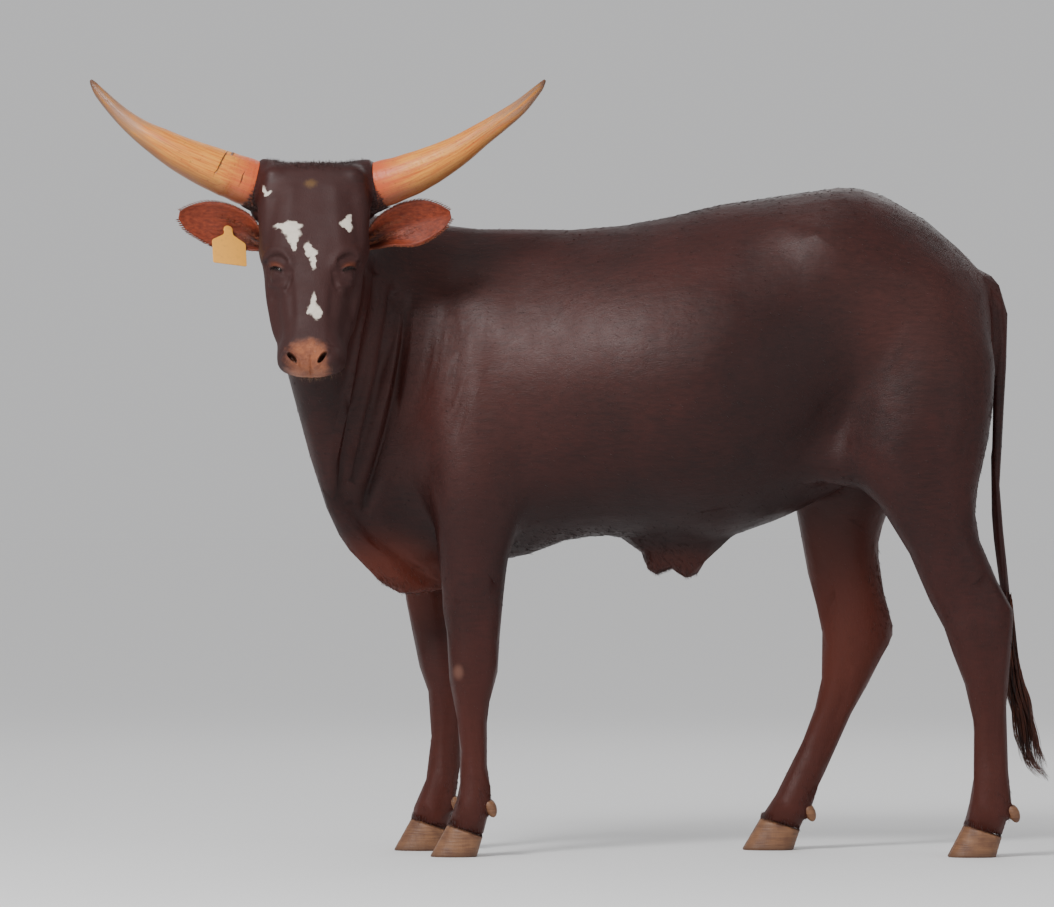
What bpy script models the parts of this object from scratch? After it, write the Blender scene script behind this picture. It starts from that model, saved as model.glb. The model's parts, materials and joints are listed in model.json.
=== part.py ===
"""A young Ankole Watusi, life size, standing square to the side with its head turned to look out over its left.

Metres, +Z up. The animal faces -X and its left side faces -Y. The flesh is modelled as lofted and rounded masses,
fused and smoothed, and then parted into head, neck, torso and legs along flat cuts. Horns, ears, eyes, claws, tail
and the ear tag are pieces of their own that meet the flesh face to face.
"""

import math
import random

import bmesh
import bpy
import numpy as np
from mathutils import Matrix, Vector

# Driving dimensions, in metres. Heights are given from a level in the grass, and the soles stand below it.
GAP = 0.0003
GROUND = -0.048
HEAD_PITCH = math.radians(25)
HEAD_YAW = math.radians(1)
POLL = Vector((-0.522, -0.330, 1.380))
EYE_RADIUS = 0.0180
EYE_SEAT = (0.0640, 0.2280, -0.0385)
EYE_OUT = Vector((0.66, 0.0, 0.75))
EYE_ALONG = Vector((-0.75, 0.42, 0.66))
LID_THICKNESS = 0.0042
SLIT = (0.0170, 0.0046)
NOSTRILS = ((-0.563, 0.984), (-0.501, 0.984))
NOSTRIL_RADII = (0.0058, 0.0135, 0.0180)
EAR_THICKNESS = 0.0055
TAG_THICKNESS = 0.0022
TAG_TURN = (-31, 7, 18)
TAG_TOP = Vector((-0.699, -0.2760, 1.2445))
TAG_STEM = 0.0205
TAG_OUTLINE = ((-0.007, 0.006), (0.007, 0.006), (0.010, -0.014), (0.036, -0.031), (0.036, -0.083), (0.033, -0.086),
               (-0.033, -0.086), (-0.036, -0.083), (-0.036, -0.031), (-0.010, -0.014))
BUTTON_SEAT = Vector((-0.336, -0.2520, 1.256))
STUD_RADIUS = 0.0028
DEWCLAW = (((-0.006, 0.012), 0.0105), ((0.000, 0.003), 0.0125), ((0.006, -0.008), 0.0110), ((0.0105, -0.017), 0.0060))
TRIANGLES = 8900

# Flat cuts that part the flesh: a point on each and the way it faces, then the heights at which the legs come off.
HEAD_CUT = (Vector((-0.520, -0.232, 1.150)), Vector((0.02, -1.0, 0.22)))
NECK_CUT = (Vector((-0.330, 0.0, 0.900)), Vector((-1.0, -0.14, 0.25)))
LEG_INSIDE = 0.062
LEG_BOXES = {
    "foreleg_left": (-1, -0.32, -0.02, 0.560),
    "foreleg_right": (1, -0.38, -0.02, 0.560),
    "hindleg_left": (-1, 0.55, 1.05, 0.668),
    "hindleg_right": (1, 0.34, 0.85, 0.590),
}

# Feet: side, sole from toe to heel, coronet from front to rear, distance from the middle of the body and the seat
# of the dewclaws, along the body and up, on the back of the fetlock. The coronet's heights are from the ground.
CORONET = (0.066, 0.042)
CLEFT = 0.006
CLAW_WIDTH = 0.0435
DEWCLAW_ASIDE = 0.019
FEET = {
    "fore_left": (-1, (-0.288, -0.190), (-0.254, -0.175), 0.126, (-0.164, 0.052)),
    "fore_right": (1, (-0.366, -0.262), (-0.332, -0.247), 0.120, (-0.239, 0.048)),
    "hind_left": (-1, (0.779, 0.880), (0.811, 0.895), 0.141, (0.914, 0.042)),
    "hind_right": (1, (0.362, 0.470), (0.398, 0.487), 0.140, (0.502, 0.030)),
}

# The trunk, from the chest to the buttocks: place along the body, top line, under line, and the half widths at the
# shares of the height named in TRUNK_LEVELS.
TRUNK_LEVELS = (0.95, 0.76, 0.48, 0.18)
TRUNK = (
    (-0.385, 1.000, 0.700, (0.020, 0.050, 0.065, 0.040)),
    (-0.350, 1.120, 0.610, (0.040, 0.095, 0.125, 0.080)),
    (-0.280, 1.205, 0.570, (0.045, 0.130, 0.170, 0.110)),
    (-0.200, 1.248, 0.560, (0.048, 0.155, 0.195, 0.128)),
    (-0.100, 1.252, 0.566, (0.050, 0.170, 0.215, 0.142)),
    (0.000, 1.250, 0.602, (0.062, 0.195, 0.240, 0.162)),
    (0.100, 1.256, 0.612, (0.078, 0.220, 0.268, 0.185)),
    (0.200, 1.273, 0.604, (0.088, 0.232, 0.284, 0.200)),
    (0.300, 1.297, 0.604, (0.092, 0.228, 0.284, 0.198)),
    (0.400, 1.312, 0.630, (0.098, 0.208, 0.262, 0.170)),
    (0.500, 1.326, 0.672, (0.102, 0.192, 0.228, 0.130)),
    (0.580, 1.338, 0.715, (0.100, 0.186, 0.205, 0.105)),
    (0.640, 1.324, 0.745, (0.090, 0.176, 0.192, 0.095)),
    (0.690, 1.299, 0.765, (0.078, 0.164, 0.182, 0.090)),
    (0.750, 1.261, 0.785, (0.064, 0.146, 0.166, 0.082)),
    (0.800, 1.221, 0.800, (0.052, 0.126, 0.145, 0.070)),
    (0.840, 1.180, 0.830, (0.038, 0.096, 0.112, 0.055)),
    (0.866, 1.140, 0.880, (0.024, 0.062, 0.074, 0.036)),
    (0.878, 1.100, 0.940, (0.010, 0.026, 0.030, 0.016)),
)

# The neck, from inside the shoulders to inside the skull, with the dewlap as its narrow lower edge: place on the
# floor plan, heading, crest, dewlap edge, and half widths at NECK_LEVELS.
NECK_LEVELS = (0.95, 0.78, 0.55, 0.30, 0.10)
NECK = (
    (-0.150, 0.000, 180, 1.250, 0.530, (0.042, 0.130, 0.180, 0.150, 0.060)),
    (-0.255, -0.004, 184, 1.262, 0.498, (0.042, 0.115, 0.158, 0.115, 0.045)),
    (-0.345, -0.026, 202, 1.275, 0.486, (0.042, 0.098, 0.128, 0.080, 0.034)),
    (-0.420, -0.064, 222, 1.287, 0.538, (0.042, 0.090, 0.110, 0.068, 0.030)),
    (-0.478, -0.118, 240, 1.300, 0.615, (0.042, 0.086, 0.100, 0.064, 0.030)),
    (-0.508, -0.180, 254, 1.315, 0.760, (0.044, 0.084, 0.093, 0.066, 0.032)),
    (-0.522, -0.240, 264, 1.325, 0.905, (0.048, 0.084, 0.092, 0.074, 0.042)),
    (-0.524, -0.290, 270, 1.300, 1.000, (0.048, 0.076, 0.082, 0.066, 0.044)),
)

# The head in its own frame, where s runs to its left, t from the poll down the face and n out of the forehead:
# t, face line, jaw line, and half widths at HEAD_LEVELS.
HEAD_LEVELS = (0.96, 0.80, 0.56, 0.28, 0.07)
HEAD = (
    (-0.018, -0.030, -0.080, (0.060, 0.076, 0.078, 0.065, 0.035)),
    (0.000, -0.010, -0.105, (0.076, 0.104, 0.106, 0.090, 0.050)),
    (0.030, 0.000, -0.128, (0.078, 0.110, 0.114, 0.094, 0.050)),
    (0.075, 0.003, -0.148, (0.076, 0.113, 0.114, 0.088, 0.048)),
    (0.125, 0.003, -0.172, (0.074, 0.108, 0.112, 0.082, 0.044)),
    (0.175, 0.001, -0.190, (0.068, 0.102, 0.108, 0.078, 0.040)),
    (0.220, -0.002, -0.200, (0.060, 0.092, 0.102, 0.078, 0.038)),
    (0.265, -0.007, -0.196, (0.049, 0.076, 0.098, 0.080, 0.036)),
    (0.310, -0.011, -0.178, (0.043, 0.064, 0.088, 0.073, 0.034)),
    (0.355, -0.014, -0.156, (0.039, 0.056, 0.077, 0.066, 0.034)),
    (0.395, -0.014, -0.132, (0.040, 0.060, 0.073, 0.066, 0.038)),
    (0.426, -0.016, -0.106, (0.042, 0.062, 0.071, 0.064, 0.038)),
    (0.443, -0.024, -0.090, (0.036, 0.052, 0.060, 0.054, 0.032)),
    (0.451, -0.036, -0.076, (0.018, 0.028, 0.032, 0.028, 0.016)),
)

# Each leg, from inside the body to inside the claws: height, front edge, rear edge, distance from the middle of
# the body and half width.
LEFT_FORE = (
    (0.900, -0.300, -0.120, 0.120, 0.070),
    (0.800, -0.295, -0.085, 0.132, 0.076),
    (0.700, -0.288, -0.084, 0.138, 0.070),
    (0.640, -0.281, -0.100, 0.138, 0.060),
    (0.590, -0.275, -0.116, 0.137, 0.053),
    (0.550, -0.271, -0.126, 0.136, 0.049),
    (0.500, -0.265, -0.132, 0.135, 0.046),
    (0.450, -0.259, -0.137, 0.133, 0.043),
    (0.400, -0.254, -0.142, 0.132, 0.041),
    (0.360, -0.252, -0.144, 0.131, 0.044),
    (0.325, -0.249, -0.147, 0.130, 0.043),
    (0.285, -0.244, -0.158, 0.129, 0.035),
    (0.240, -0.235, -0.167, 0.128, 0.028),
    (0.180, -0.228, -0.169, 0.127, 0.027),
    (0.135, -0.227, -0.167, 0.126, 0.030),
    (0.100, -0.228, -0.160, 0.126, 0.036),
    (0.070, -0.233, -0.162, 0.126, 0.038),
    (0.045, -0.242, -0.165, 0.126, 0.042),
    (0.020, -0.252, -0.170, 0.126, 0.044),
    (-0.005, -0.261, -0.175, 0.126, 0.045),
    (-0.030, -0.269, -0.182, 0.126, 0.045),
)
RIGHT_FORE = (
    (0.900, -0.335, -0.155, 0.120, 0.070),
    (0.800, -0.345, -0.130, 0.132, 0.076),
    (0.700, -0.352, -0.135, 0.138, 0.070),
    (0.640, -0.353, -0.160, 0.137, 0.060),
    (0.590, -0.352, -0.185, 0.135, 0.053),
    (0.540, -0.350, -0.205, 0.133, 0.049),
    (0.475, -0.342, -0.220, 0.131, 0.045),
    (0.410, -0.328, -0.222, 0.129, 0.041),
    (0.365, -0.319, -0.216, 0.127, 0.044),
    (0.325, -0.310, -0.208, 0.126, 0.043),
    (0.285, -0.296, -0.213, 0.124, 0.035),
    (0.240, -0.293, -0.220, 0.122, 0.028),
    (0.185, -0.291, -0.221, 0.121, 0.027),
    (0.130, -0.296, -0.223, 0.120, 0.031),
    (0.098, -0.301, -0.229, 0.120, 0.036),
    (0.072, -0.311, -0.234, 0.120, 0.038),
    (0.045, -0.323, -0.240, 0.120, 0.042),
    (0.020, -0.331, -0.242, 0.120, 0.044),
    (-0.005, -0.339, -0.248, 0.120, 0.045),
    (-0.030, -0.346, -0.254, 0.120, 0.045),
)
LEFT_HIND = (
    (1.080, 0.680, 0.850, 0.085, 0.066),
    (1.000, 0.630, 0.880, 0.100, 0.090),
    (0.900, 0.590, 0.880, 0.112, 0.102),
    (0.800, 0.575, 0.866, 0.122, 0.096),
    (0.730, 0.592, 0.849, 0.128, 0.084),
    (0.670, 0.640, 0.840, 0.134, 0.069),
    (0.625, 0.668, 0.843, 0.137, 0.060),
    (0.575, 0.700, 0.861, 0.139, 0.053),
    (0.520, 0.722, 0.885, 0.141, 0.046),
    (0.485, 0.738, 0.906, 0.141, 0.040),
    (0.456, 0.753, 0.920, 0.141, 0.041),
    (0.420, 0.773, 0.917, 0.141, 0.044),
    (0.382, 0.784, 0.913, 0.141, 0.044),
    (0.338, 0.801, 0.909, 0.141, 0.038),
    (0.295, 0.818, 0.906, 0.141, 0.031),
    (0.240, 0.829, 0.904, 0.141, 0.028),
    (0.180, 0.833, 0.906, 0.141, 0.028),
    (0.136, 0.833, 0.907, 0.141, 0.031),
    (0.105, 0.831, 0.910, 0.141, 0.035),
    (0.075, 0.827, 0.912, 0.141, 0.037),
    (0.045, 0.820, 0.909, 0.141, 0.041),
    (0.020, 0.812, 0.901, 0.141, 0.044),
    (-0.005, 0.804, 0.894, 0.141, 0.045),
    (-0.030, 0.797, 0.888, 0.141, 0.045),
)
RIGHT_HIND = (
    (1.080, 0.640, 0.850, 0.085, 0.066),
    (0.980, 0.565, 0.865, 0.100, 0.090),
    (0.880, 0.515, 0.845, 0.112, 0.102),
    (0.790, 0.480, 0.790, 0.122, 0.096),
    (0.720, 0.472, 0.725, 0.128, 0.084),
    (0.655, 0.474, 0.668, 0.133, 0.069),
    (0.605, 0.483, 0.654, 0.136, 0.059),
    (0.553, 0.494, 0.651, 0.138, 0.052),
    (0.500, 0.504, 0.659, 0.139, 0.046),
    (0.450, 0.518, 0.673, 0.140, 0.041),
    (0.405, 0.527, 0.681, 0.140, 0.043),
    (0.372, 0.529, 0.670, 0.140, 0.044),
    (0.338, 0.528, 0.648, 0.140, 0.041),
    (0.291, 0.523, 0.625, 0.140, 0.034),
    (0.240, 0.510, 0.596, 0.140, 0.029),
    (0.170, 0.481, 0.566, 0.140, 0.028),
    (0.125, 0.459, 0.544, 0.140, 0.032),
    (0.092, 0.444, 0.527, 0.140, 0.036),
    (0.068, 0.433, 0.520, 0.140, 0.038),
    (0.042, 0.416, 0.508, 0.140, 0.042),
    (0.020, 0.400, 0.494, 0.140, 0.044),
    (-0.005, 0.391, 0.486, 0.140, 0.045),
    (-0.030, 0.383, 0.478, 0.140, 0.045),
)

# Horns, from inside the skull to the tip: centre and radius.
RIGHT_HORN = (
    ((-0.612, -0.262, 1.324), 0.0495),
    ((-0.650, -0.268, 1.338), 0.0490),
    ((-0.690, -0.277, 1.3535), 0.0472),
    ((-0.714, -0.282, 1.3625), 0.0456),
    ((-0.754, -0.288, 1.379), 0.0420),
    ((-0.795, -0.293, 1.398), 0.0368),
    ((-0.836, -0.294, 1.421), 0.0308),
    ((-0.877, -0.292, 1.446), 0.0234),
    ((-0.918, -0.285, 1.479), 0.0174),
    ((-0.958, -0.273, 1.520), 0.0120),
    ((-0.979, -0.265, 1.549), 0.0040),
)
LEFT_HORN = (
    ((-0.428, -0.262, 1.324), 0.0490),
    ((-0.390, -0.268, 1.336), 0.0480),
    ((-0.346, -0.278, 1.350), 0.0452),
    ((-0.305, -0.286, 1.366), 0.0416),
    ((-0.265, -0.291, 1.385), 0.0364),
    ((-0.224, -0.294, 1.408), 0.0306),
    ((-0.183, -0.294, 1.436), 0.0246),
    ((-0.142, -0.290, 1.464), 0.0202),
    ((-0.101, -0.280, 1.495), 0.0158),
    ((-0.066, -0.269, 1.530), 0.0094),
    ((-0.050, -0.264, 1.549), 0.0036),
)

# The skin that runs up round each horn, from inside the skull to the hair line.
HORN_COLLARS = (
    (((-0.560, -0.262, 1.310), 0.060), ((-0.610, -0.264, 1.331), 0.0580), ((-0.648, -0.268, 1.342), 0.0540)),
    (((-0.484, -0.262, 1.312), 0.060), ((-0.432, -0.264, 1.332), 0.0570), ((-0.392, -0.268, 1.341), 0.0520)),
)
BELOW_HORNS = (((-0.626, -0.258, 1.280), 0.031), ((-0.420, -0.256, 1.284), 0.029))

# Ears, from inside the head to the tip: middle line, upper edge, lower edge and how deep the cup is.
RIGHT_EAR = (
    ((-0.618, -0.290, 1.214), 0.012, 0.012, 0.018),
    ((-0.640, -0.285, 1.220), 0.024, 0.020, 0.024),
    ((-0.672, -0.280, 1.236), 0.042, 0.036, 0.024),
    ((-0.710, -0.278, 1.250), 0.047, 0.044, 0.018),
    ((-0.748, -0.280, 1.262), 0.041, 0.038, 0.014),
    ((-0.780, -0.284, 1.270), 0.024, 0.026, 0.008),
    ((-0.798, -0.288, 1.274), 0.010, 0.010, 0.004),
)
LEFT_EAR = (
    ((-0.424, -0.290, 1.216), 0.012, 0.012, 0.020),
    ((-0.402, -0.285, 1.222), 0.024, 0.018, 0.026),
    ((-0.370, -0.280, 1.238), 0.040, 0.030, 0.030),
    ((-0.332, -0.278, 1.252), 0.047, 0.044, 0.026),
    ((-0.294, -0.280, 1.264), 0.042, 0.040, 0.018),
    ((-0.262, -0.284, 1.271), 0.025, 0.026, 0.009),
    ((-0.244, -0.288, 1.275), 0.010, 0.010, 0.004),
)

TAIL = (
    ((0.848, 0.0, 1.150), 0.022),
    ((0.876, 0.0, 1.122), 0.021),
    ((0.892, 0.0, 1.078), 0.018),
    ((0.897, 0.0, 1.020), 0.015),
    ((0.893, 0.0, 0.900), 0.013),
    ((0.887, 0.0, 0.790), 0.0125),
    ((0.884, 0.0, 0.710), 0.0125),
    ((0.890, 0.0, 0.630), 0.0125),
    ((0.899, 0.0, 0.550), 0.0120),
    ((0.908, 0.0, 0.475), 0.0110),
    ((0.912, 0.0, 0.430), 0.0095),
)
SWITCH_PATH = ((0.911, 0.0, 0.455), (0.917, 0.0, 0.380), (0.924, 0.0, 0.320), (0.938, 0.0, 0.265), (0.953, 0.0, 0.195),
               (0.972, 0.0, 0.140), (0.992, 0.0, 0.112))
SWITCH_RADII = (0.008, 0.012, 0.015, 0.017, 0.017, 0.013, 0.004)
LOCKS = 9

# Muscles and bones that show through: centre, radii, and the lean about the left-right axis in degrees. Each is
# made on both sides.
SHOWING = (
    ((-0.165, 0.108, 0.960), (0.095, 0.075, 0.190), 18),
    ((-0.290, 0.104, 0.790), (0.070, 0.060, 0.095), 0),
    ((-0.160, 0.138, 0.790), (0.105, 0.060, 0.120), -20),
    ((0.510, 0.128, 1.205), (0.075, 0.062, 0.060), -12),
    ((0.830, 0.066, 1.085), (0.040, 0.042, 0.060), 0),
    ((0.700, 0.100, 1.080), (0.120, 0.080, 0.130), 30),
)
NEAR_THIGH = (
    ((0.725, -0.125, 0.930), (0.135, 0.085, 0.200), 0),
    ((0.635, -0.132, 0.800), (0.070, 0.062, 0.085), 20),
    ((0.560, -0.116, 0.768), (0.150, 0.038, 0.056), 12),
)
FAR_THIGH = (
    ((0.680, 0.125, 0.920), (0.145, 0.085, 0.200), 8),
    ((0.550, 0.132, 0.790), (0.070, 0.062, 0.085), 10),
    ((0.490, 0.118, 0.730), (0.090, 0.034, 0.060), 24),
)
BETWEEN_THIGHS = (((0.785, 0.0, 0.930), (0.072, 0.080, 0.200), 0),)
SHEATH = (
    ((0.187, 0.0, 0.572), (0.034, 0.026, 0.047), 12),
    ((0.246, 0.0, 0.568), (0.038, 0.028, 0.049), -8),
    ((0.225, 0.0, 0.606), (0.115, 0.045, 0.038), 0),
    ((0.272, 0.0, 0.592), (0.050, 0.036, 0.036), -25),
)


def clear():
    for thing in list(bpy.data.objects):
        bpy.data.objects.remove(thing)


def through(points, steps, closed=False):
    """A smooth run through the given points, rings or numbers, with that many steps between each two."""
    points = np.asarray(points, float)
    count = len(points)
    spans = count if closed else count - 1
    run = []
    for i in range(spans):
        if closed:
            a, b, c, d = (points[(i + k) % count] for k in (-1, 0, 1, 2))
        else:
            a, b, c, d = (points[min(max(i + k, 0), count - 1)] for k in (-1, 0, 1, 2))
        for u in np.arange(steps) / steps:
            run.append(0.5 * (2 * b + (c - a) * u + (2 * a - 5 * b + 4 * c - d) * u**2 + (3 * b - a - 3 * c + d) * u**3))
    if not closed:
        run.append(points[-1])
    return np.array(run)


def outline(top, bottom, levels, widths):
    """A closed, mirrored section as (side, height) points from the top round to the top again."""
    side = [(w, bottom + f * (top - bottom)) for f, w in zip(levels, widths)]
    loop = through([(0.0, top), *side, (0.0, bottom), *[(-w, h) for w, h in reversed(side)]], 4, closed=True)
    low, high = loop.min(axis=0), loop.max(axis=0)
    for _ in range(6):
        loop = (np.roll(loop, 1, axis=0) + 2 * loop + np.roll(loop, -1, axis=0)) / 4
    small, large = loop.min(axis=0), loop.max(axis=0)
    return low + (loop - small) / (large - small) * (high - low)


def oval(front, rear, side, half_width, height, sharp=2.2):
    """A level ring, a little fuller than an ellipse."""
    ring = []
    for angle in np.linspace(0, 2 * math.pi, 20, endpoint=False):
        c, s = math.cos(angle), math.sin(angle)
        along = math.copysign(abs(c) ** (2 / sharp), c) * (rear - front) / 2
        across = math.copysign(abs(s) ** (2 / sharp), s) * half_width
        ring.append(((front + rear) / 2 + along, side + across, height))
    return ring


def loft(rings):
    """A closed skin drawn ring by ring through rings of equal count."""
    shape = bmesh.new()
    loop = bmesh.ops.create_circle(shape, segments=len(rings[0]), radius=1)["verts"]
    for vert, place in zip(loop, rings[0]):
        vert.co = place
    shape.faces.new(loop)
    for ring in rings[1:]:
        edges = [shape.edges.get((a, b)) for a, b in zip(loop, loop[1:] + loop[:1])]
        made = bmesh.ops.extrude_edge_only(shape, edges=edges)["geom"]
        fresh = {v for v in made if isinstance(v, bmesh.types.BMVert)}
        loop = [next(e.other_vert(v) for e in v.link_edges if e.other_vert(v) in fresh) for v in loop]
        for vert, place in zip(loop, ring):
            vert.co = place
    shape.faces.new(loop)
    bmesh.ops.recalc_face_normals(shape, faces=shape.faces)
    return shape


def ball(centre, radii, turn=Matrix(), fineness=3):
    """An ellipsoid with its radii along X, Y and Z before it is turned."""
    shape = bmesh.new()
    place = Matrix.Translation(centre) @ turn.to_4x4() @ Matrix.Diagonal((*radii, 1))
    bmesh.ops.create_icosphere(shape, subdivisions=fineness, radius=1, matrix=place)
    bmesh.ops.recalc_face_normals(shape, faces=shape.faces)
    return shape


def tube(path, radii, sides=12, steps=4):
    """A round limb of changing radius along a smooth path."""
    path, radii = through(path, steps), through(radii, steps)
    rings, side = [], None
    for i, (centre, radius) in enumerate(zip(path, radii)):
        ahead = Vector(path[min(i + 1, len(path) - 1)] - path[max(i - 1, 0)]).normalized()
        side = (side or ahead.orthogonal()).cross(ahead).cross(ahead).normalized() * -1
        up = ahead.cross(side)
        angles = np.linspace(0, 2 * math.pi, sides, endpoint=False)
        rings.append([Vector(centre) + float(radius) * (math.cos(a) * side + math.sin(a) * up) for a in angles])
    return loft(rings)


def gather(name, shapes):
    """One object holding several closed shapes."""
    mesh = bpy.data.meshes.new(name)
    whole = bmesh.new()
    for shape in shapes:
        shape.to_mesh(mesh)
        whole.from_mesh(mesh)
        shape.free()
    whole.to_mesh(mesh)
    whole.free()
    thing = bpy.data.objects.new(name, mesh)
    bpy.context.scene.collection.objects.link(thing)
    return thing


def settle(thing):
    """Replaces an object's mesh by what its modifiers make of it."""
    bpy.context.view_layer.update()
    made = bpy.data.meshes.new_from_object(thing.evaluated_get(bpy.context.evaluated_depsgraph_get()))
    thing.modifiers.clear()
    thing.data = made
    return thing


def trunk_masses():
    rings = []
    for x, top, bottom, widths in TRUNK:
        rings.append([(x, w, h) for w, h in outline(top, bottom, TRUNK_LEVELS, widths)])
    return [loft(through(rings, 4))]


def lean_ball(centre, radii, lean):
    return ball(centre, radii, Matrix.Rotation(math.radians(lean), 3, "Y"))


def showing_masses():
    shapes = [lean_ball(*mass) for mass in NEAR_THIGH + FAR_THIGH + BETWEEN_THIGHS + SHEATH]
    for (x, y, z), radii, lean in SHOWING:
        shapes += [lean_ball((x, side * y, z), radii, lean) for side in (-1, 1)]
    return shapes


def neck_masses():
    rings = []
    for x, y, heading, top, bottom, widths in NECK:
        aside = Vector((-math.sin(math.radians(heading)), math.cos(math.radians(heading)), 0))
        section = outline(top, bottom, NECK_LEVELS, widths)
        rings.append([Vector((x, y, h)) + float(w) * aside for w, h in section])
    return [loft(through(rings, 4))]


def head_frame():
    """The head's frame in the world: s to its left, t down the face, n out of the forehead."""
    turn = Matrix.Rotation(-HEAD_YAW, 3, "Z")
    left = turn @ Vector((1, 0, 0))
    down = turn @ Vector((0, -math.sin(HEAD_PITCH), -math.cos(HEAD_PITCH)))
    return Matrix((left, down, down.cross(left))).transposed()


def head_point(s, t, n):
    return POLL + head_frame() @ Vector((float(s), float(t), float(n)))


def head_ball(s, t, n, radii, roll=0):
    """An ellipsoid with its radii along s, t and n, turned in the plane of the face."""
    return ball(head_point(s, t, n), radii, head_frame() @ Matrix.Rotation(math.radians(roll), 3, "Z"))


def head_masses():
    rings = []
    for t, top, bottom, widths in HEAD:
        rings.append([head_point(w, t, h) for w, h in outline(top, bottom, HEAD_LEVELS, widths)])
    shapes = [loft(through(rings, 3))]
    for side in (-1, 1):
        s, t, n = EYE_SEAT
        shapes += [
            head_ball(side * 0.076, 0.022, -0.046, (0.040, 0.040, 0.044), side * -20),
            head_ball(side * 0.086, 0.150, -0.085, (0.030, 0.060, 0.040)),
            head_ball(side * s, t, n, [EYE_RADIUS + LID_THICKNESS] * 3),
            head_ball(side * (s + 0.014), t - 0.027, n + 0.004, (0.024, 0.010, 0.020), side * 12),
            head_ball(side * (s + 0.010), t + 0.018, n - 0.002, (0.018, 0.009, 0.016), side * 12),
            head_ball(side * 0.062, 0.270, -0.105, (0.030, 0.095, 0.060)),
            head_ball(side * 0.036, 0.426, -0.040, (0.029, 0.026, 0.030)),
            head_ball(side * 0.046, 0.404, -0.072, (0.027, 0.037, 0.025)),
            head_ball(side * 0.034, 0.397, -0.101, (0.030, 0.036, 0.020)),
        ]
    for collar in HORN_COLLARS:
        shapes.append(tube([c for c, r in collar], [r for c, r in collar], 20, 3))
    for centre, radius in BELOW_HORNS:
        shapes.append(ball(centre, [radius] * 3))
    shapes.append(head_ball(0, 0.431, -0.064, (0.044, 0.022, 0.022)))
    shapes.append(head_ball(0, 0.413, -0.102, (0.036, 0.026, 0.020)))
    return shapes


def leg_masses(stations, foot_name, side):
    """A leg, with the pads on which its dewclaws sit."""
    rings = [oval(front, rear, side * y, half, z) for z, front, rear, y, half in stations]
    shapes = [loft(through(rings, 3))]
    y, (x, z) = FEET[foot_name][3:]
    for way in (-1, 1):
        shapes.append(ball((x - 0.010, side * y + way * DEWCLAW_ASIDE, z + 0.006), (0.017, 0.015, 0.020)))
    return shapes


def weigh(thing, name, shares):
    """Gives the object a vertex group with these weights, in steps of a twentieth."""
    group = thing.vertex_groups.new(name=name)
    steps = np.round(shares * 20).astype(int)
    for step in range(1, 21):
        group.add(np.flatnonzero(steps == step).tolist(), step / 20, "REPLACE")


def flesh(name, shapes, voxel, rounds):
    """Fuses shapes into one rounded body."""
    thing = gather(name, shapes)
    fuse = thing.modifiers.new("fuse", "REMESH")
    fuse.mode = "VOXEL"
    fuse.voxel_size = voxel
    settle(thing)
    for name, times, where in rounds:
        weigh(thing, name, where(coordinates(thing.data)))
        soften = thing.modifiers.new("soften", "SMOOTH")
        soften.factor = 0.5
        soften.iterations = times
        soften.vertex_group = name
        settle(thing)
        thing.vertex_groups.clear()
    return thing


def fade(values, low, high):
    """Goes smoothly from 0 at low to 1 at high."""
    share = np.clip((values - low) / (high - low), 0, 1)
    return share * share * (3 - 2 * share)


def everywhere(at):
    return np.ones(len(at))


def off_head(at):
    """1 on the trunk and neck, 0 on the head."""
    return fade(at[:, 1], -0.30, -0.20) + (1 - fade(at[:, 1], -0.30, -0.20)) * fade(at[:, 0], -0.40, -0.34)


def on_trunk(at):
    """1 on the trunk and neck, 0 on the head and the lower legs."""
    return off_head(at) * fade(at[:, 2], 0.50, 0.66)


def coordinates(mesh):
    flat = np.empty(3 * len(mesh.vertices))
    mesh.vertices.foreach_get("co", flat)
    return flat.reshape(-1, 3)


def normals(mesh):
    flat = np.empty(3 * len(mesh.vertices))
    mesh.vertex_normals.foreach_get("vector", flat)
    return flat.reshape(-1, 3)


def place(mesh, points):
    mesh.vertices.foreach_set("co", np.asarray(points, float).ravel())
    mesh.update()


def stroke(mesh, path, width, rise):
    """Raises or sinks the skin along a path, fading with the distance from it."""
    path = through(path, 5)
    every, out = coordinates(mesh), normals(mesh)
    near = ((every > path.min(axis=0) - 3 * width) & (every < path.max(axis=0) + 3 * width)).all(axis=1)
    at = every[near]
    nearest = np.full(len(at), 9.0)
    for start, step in zip(path[:-1], path[1:] - path[:-1]):
        share = np.clip(((at - start) @ step) / (step @ step), 0, 1)
        nearest = np.minimum(nearest, np.linalg.norm(at - start - share[:, None] * step, axis=1))
    every[near] = at + out[near] * (rise * np.exp(-((nearest / width) ** 2)))[:, None]
    place(mesh, every)


def thin(thing, triangles, detail):
    """Thins the mesh to about so many triangles, the least where detail is high."""
    weigh(thing, "thin", 1 - detail(coordinates(thing.data)))
    less = thing.modifiers.new("less", "DECIMATE")
    less.ratio = triangles / (2 * len(thing.data.polygons))
    less.vertex_group = "thin"
    less.vertex_group_factor = 1.0
    settle(thing)
    thing.vertex_groups.clear()


def fine_detail(at):
    """How much of the mesh the head and the dewlap keep against the trunk."""
    dewlap = (1 - fade(at[:, 0], -0.42, -0.34)) * (1 - fade(at[:, 2], 0.72, 0.80)) * fade(at[:, 2], 0.44, 0.48)
    return 0.03 * (1 - off_head(at)) + 0.02 * dewlap


def trace(mesh, side, path):
    """Lays a path given as places along and above the body on the skin of one side."""
    at = coordinates(mesh)
    laid = []
    for x, z in path:
        apart = np.hypot(at[:, 0] - x, at[:, 2] - z)
        near = np.flatnonzero(apart < max(0.012, apart.min() + 0.002))
        laid.append(at[near[np.argmax(side * at[near, 1])]])
    return laid


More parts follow.
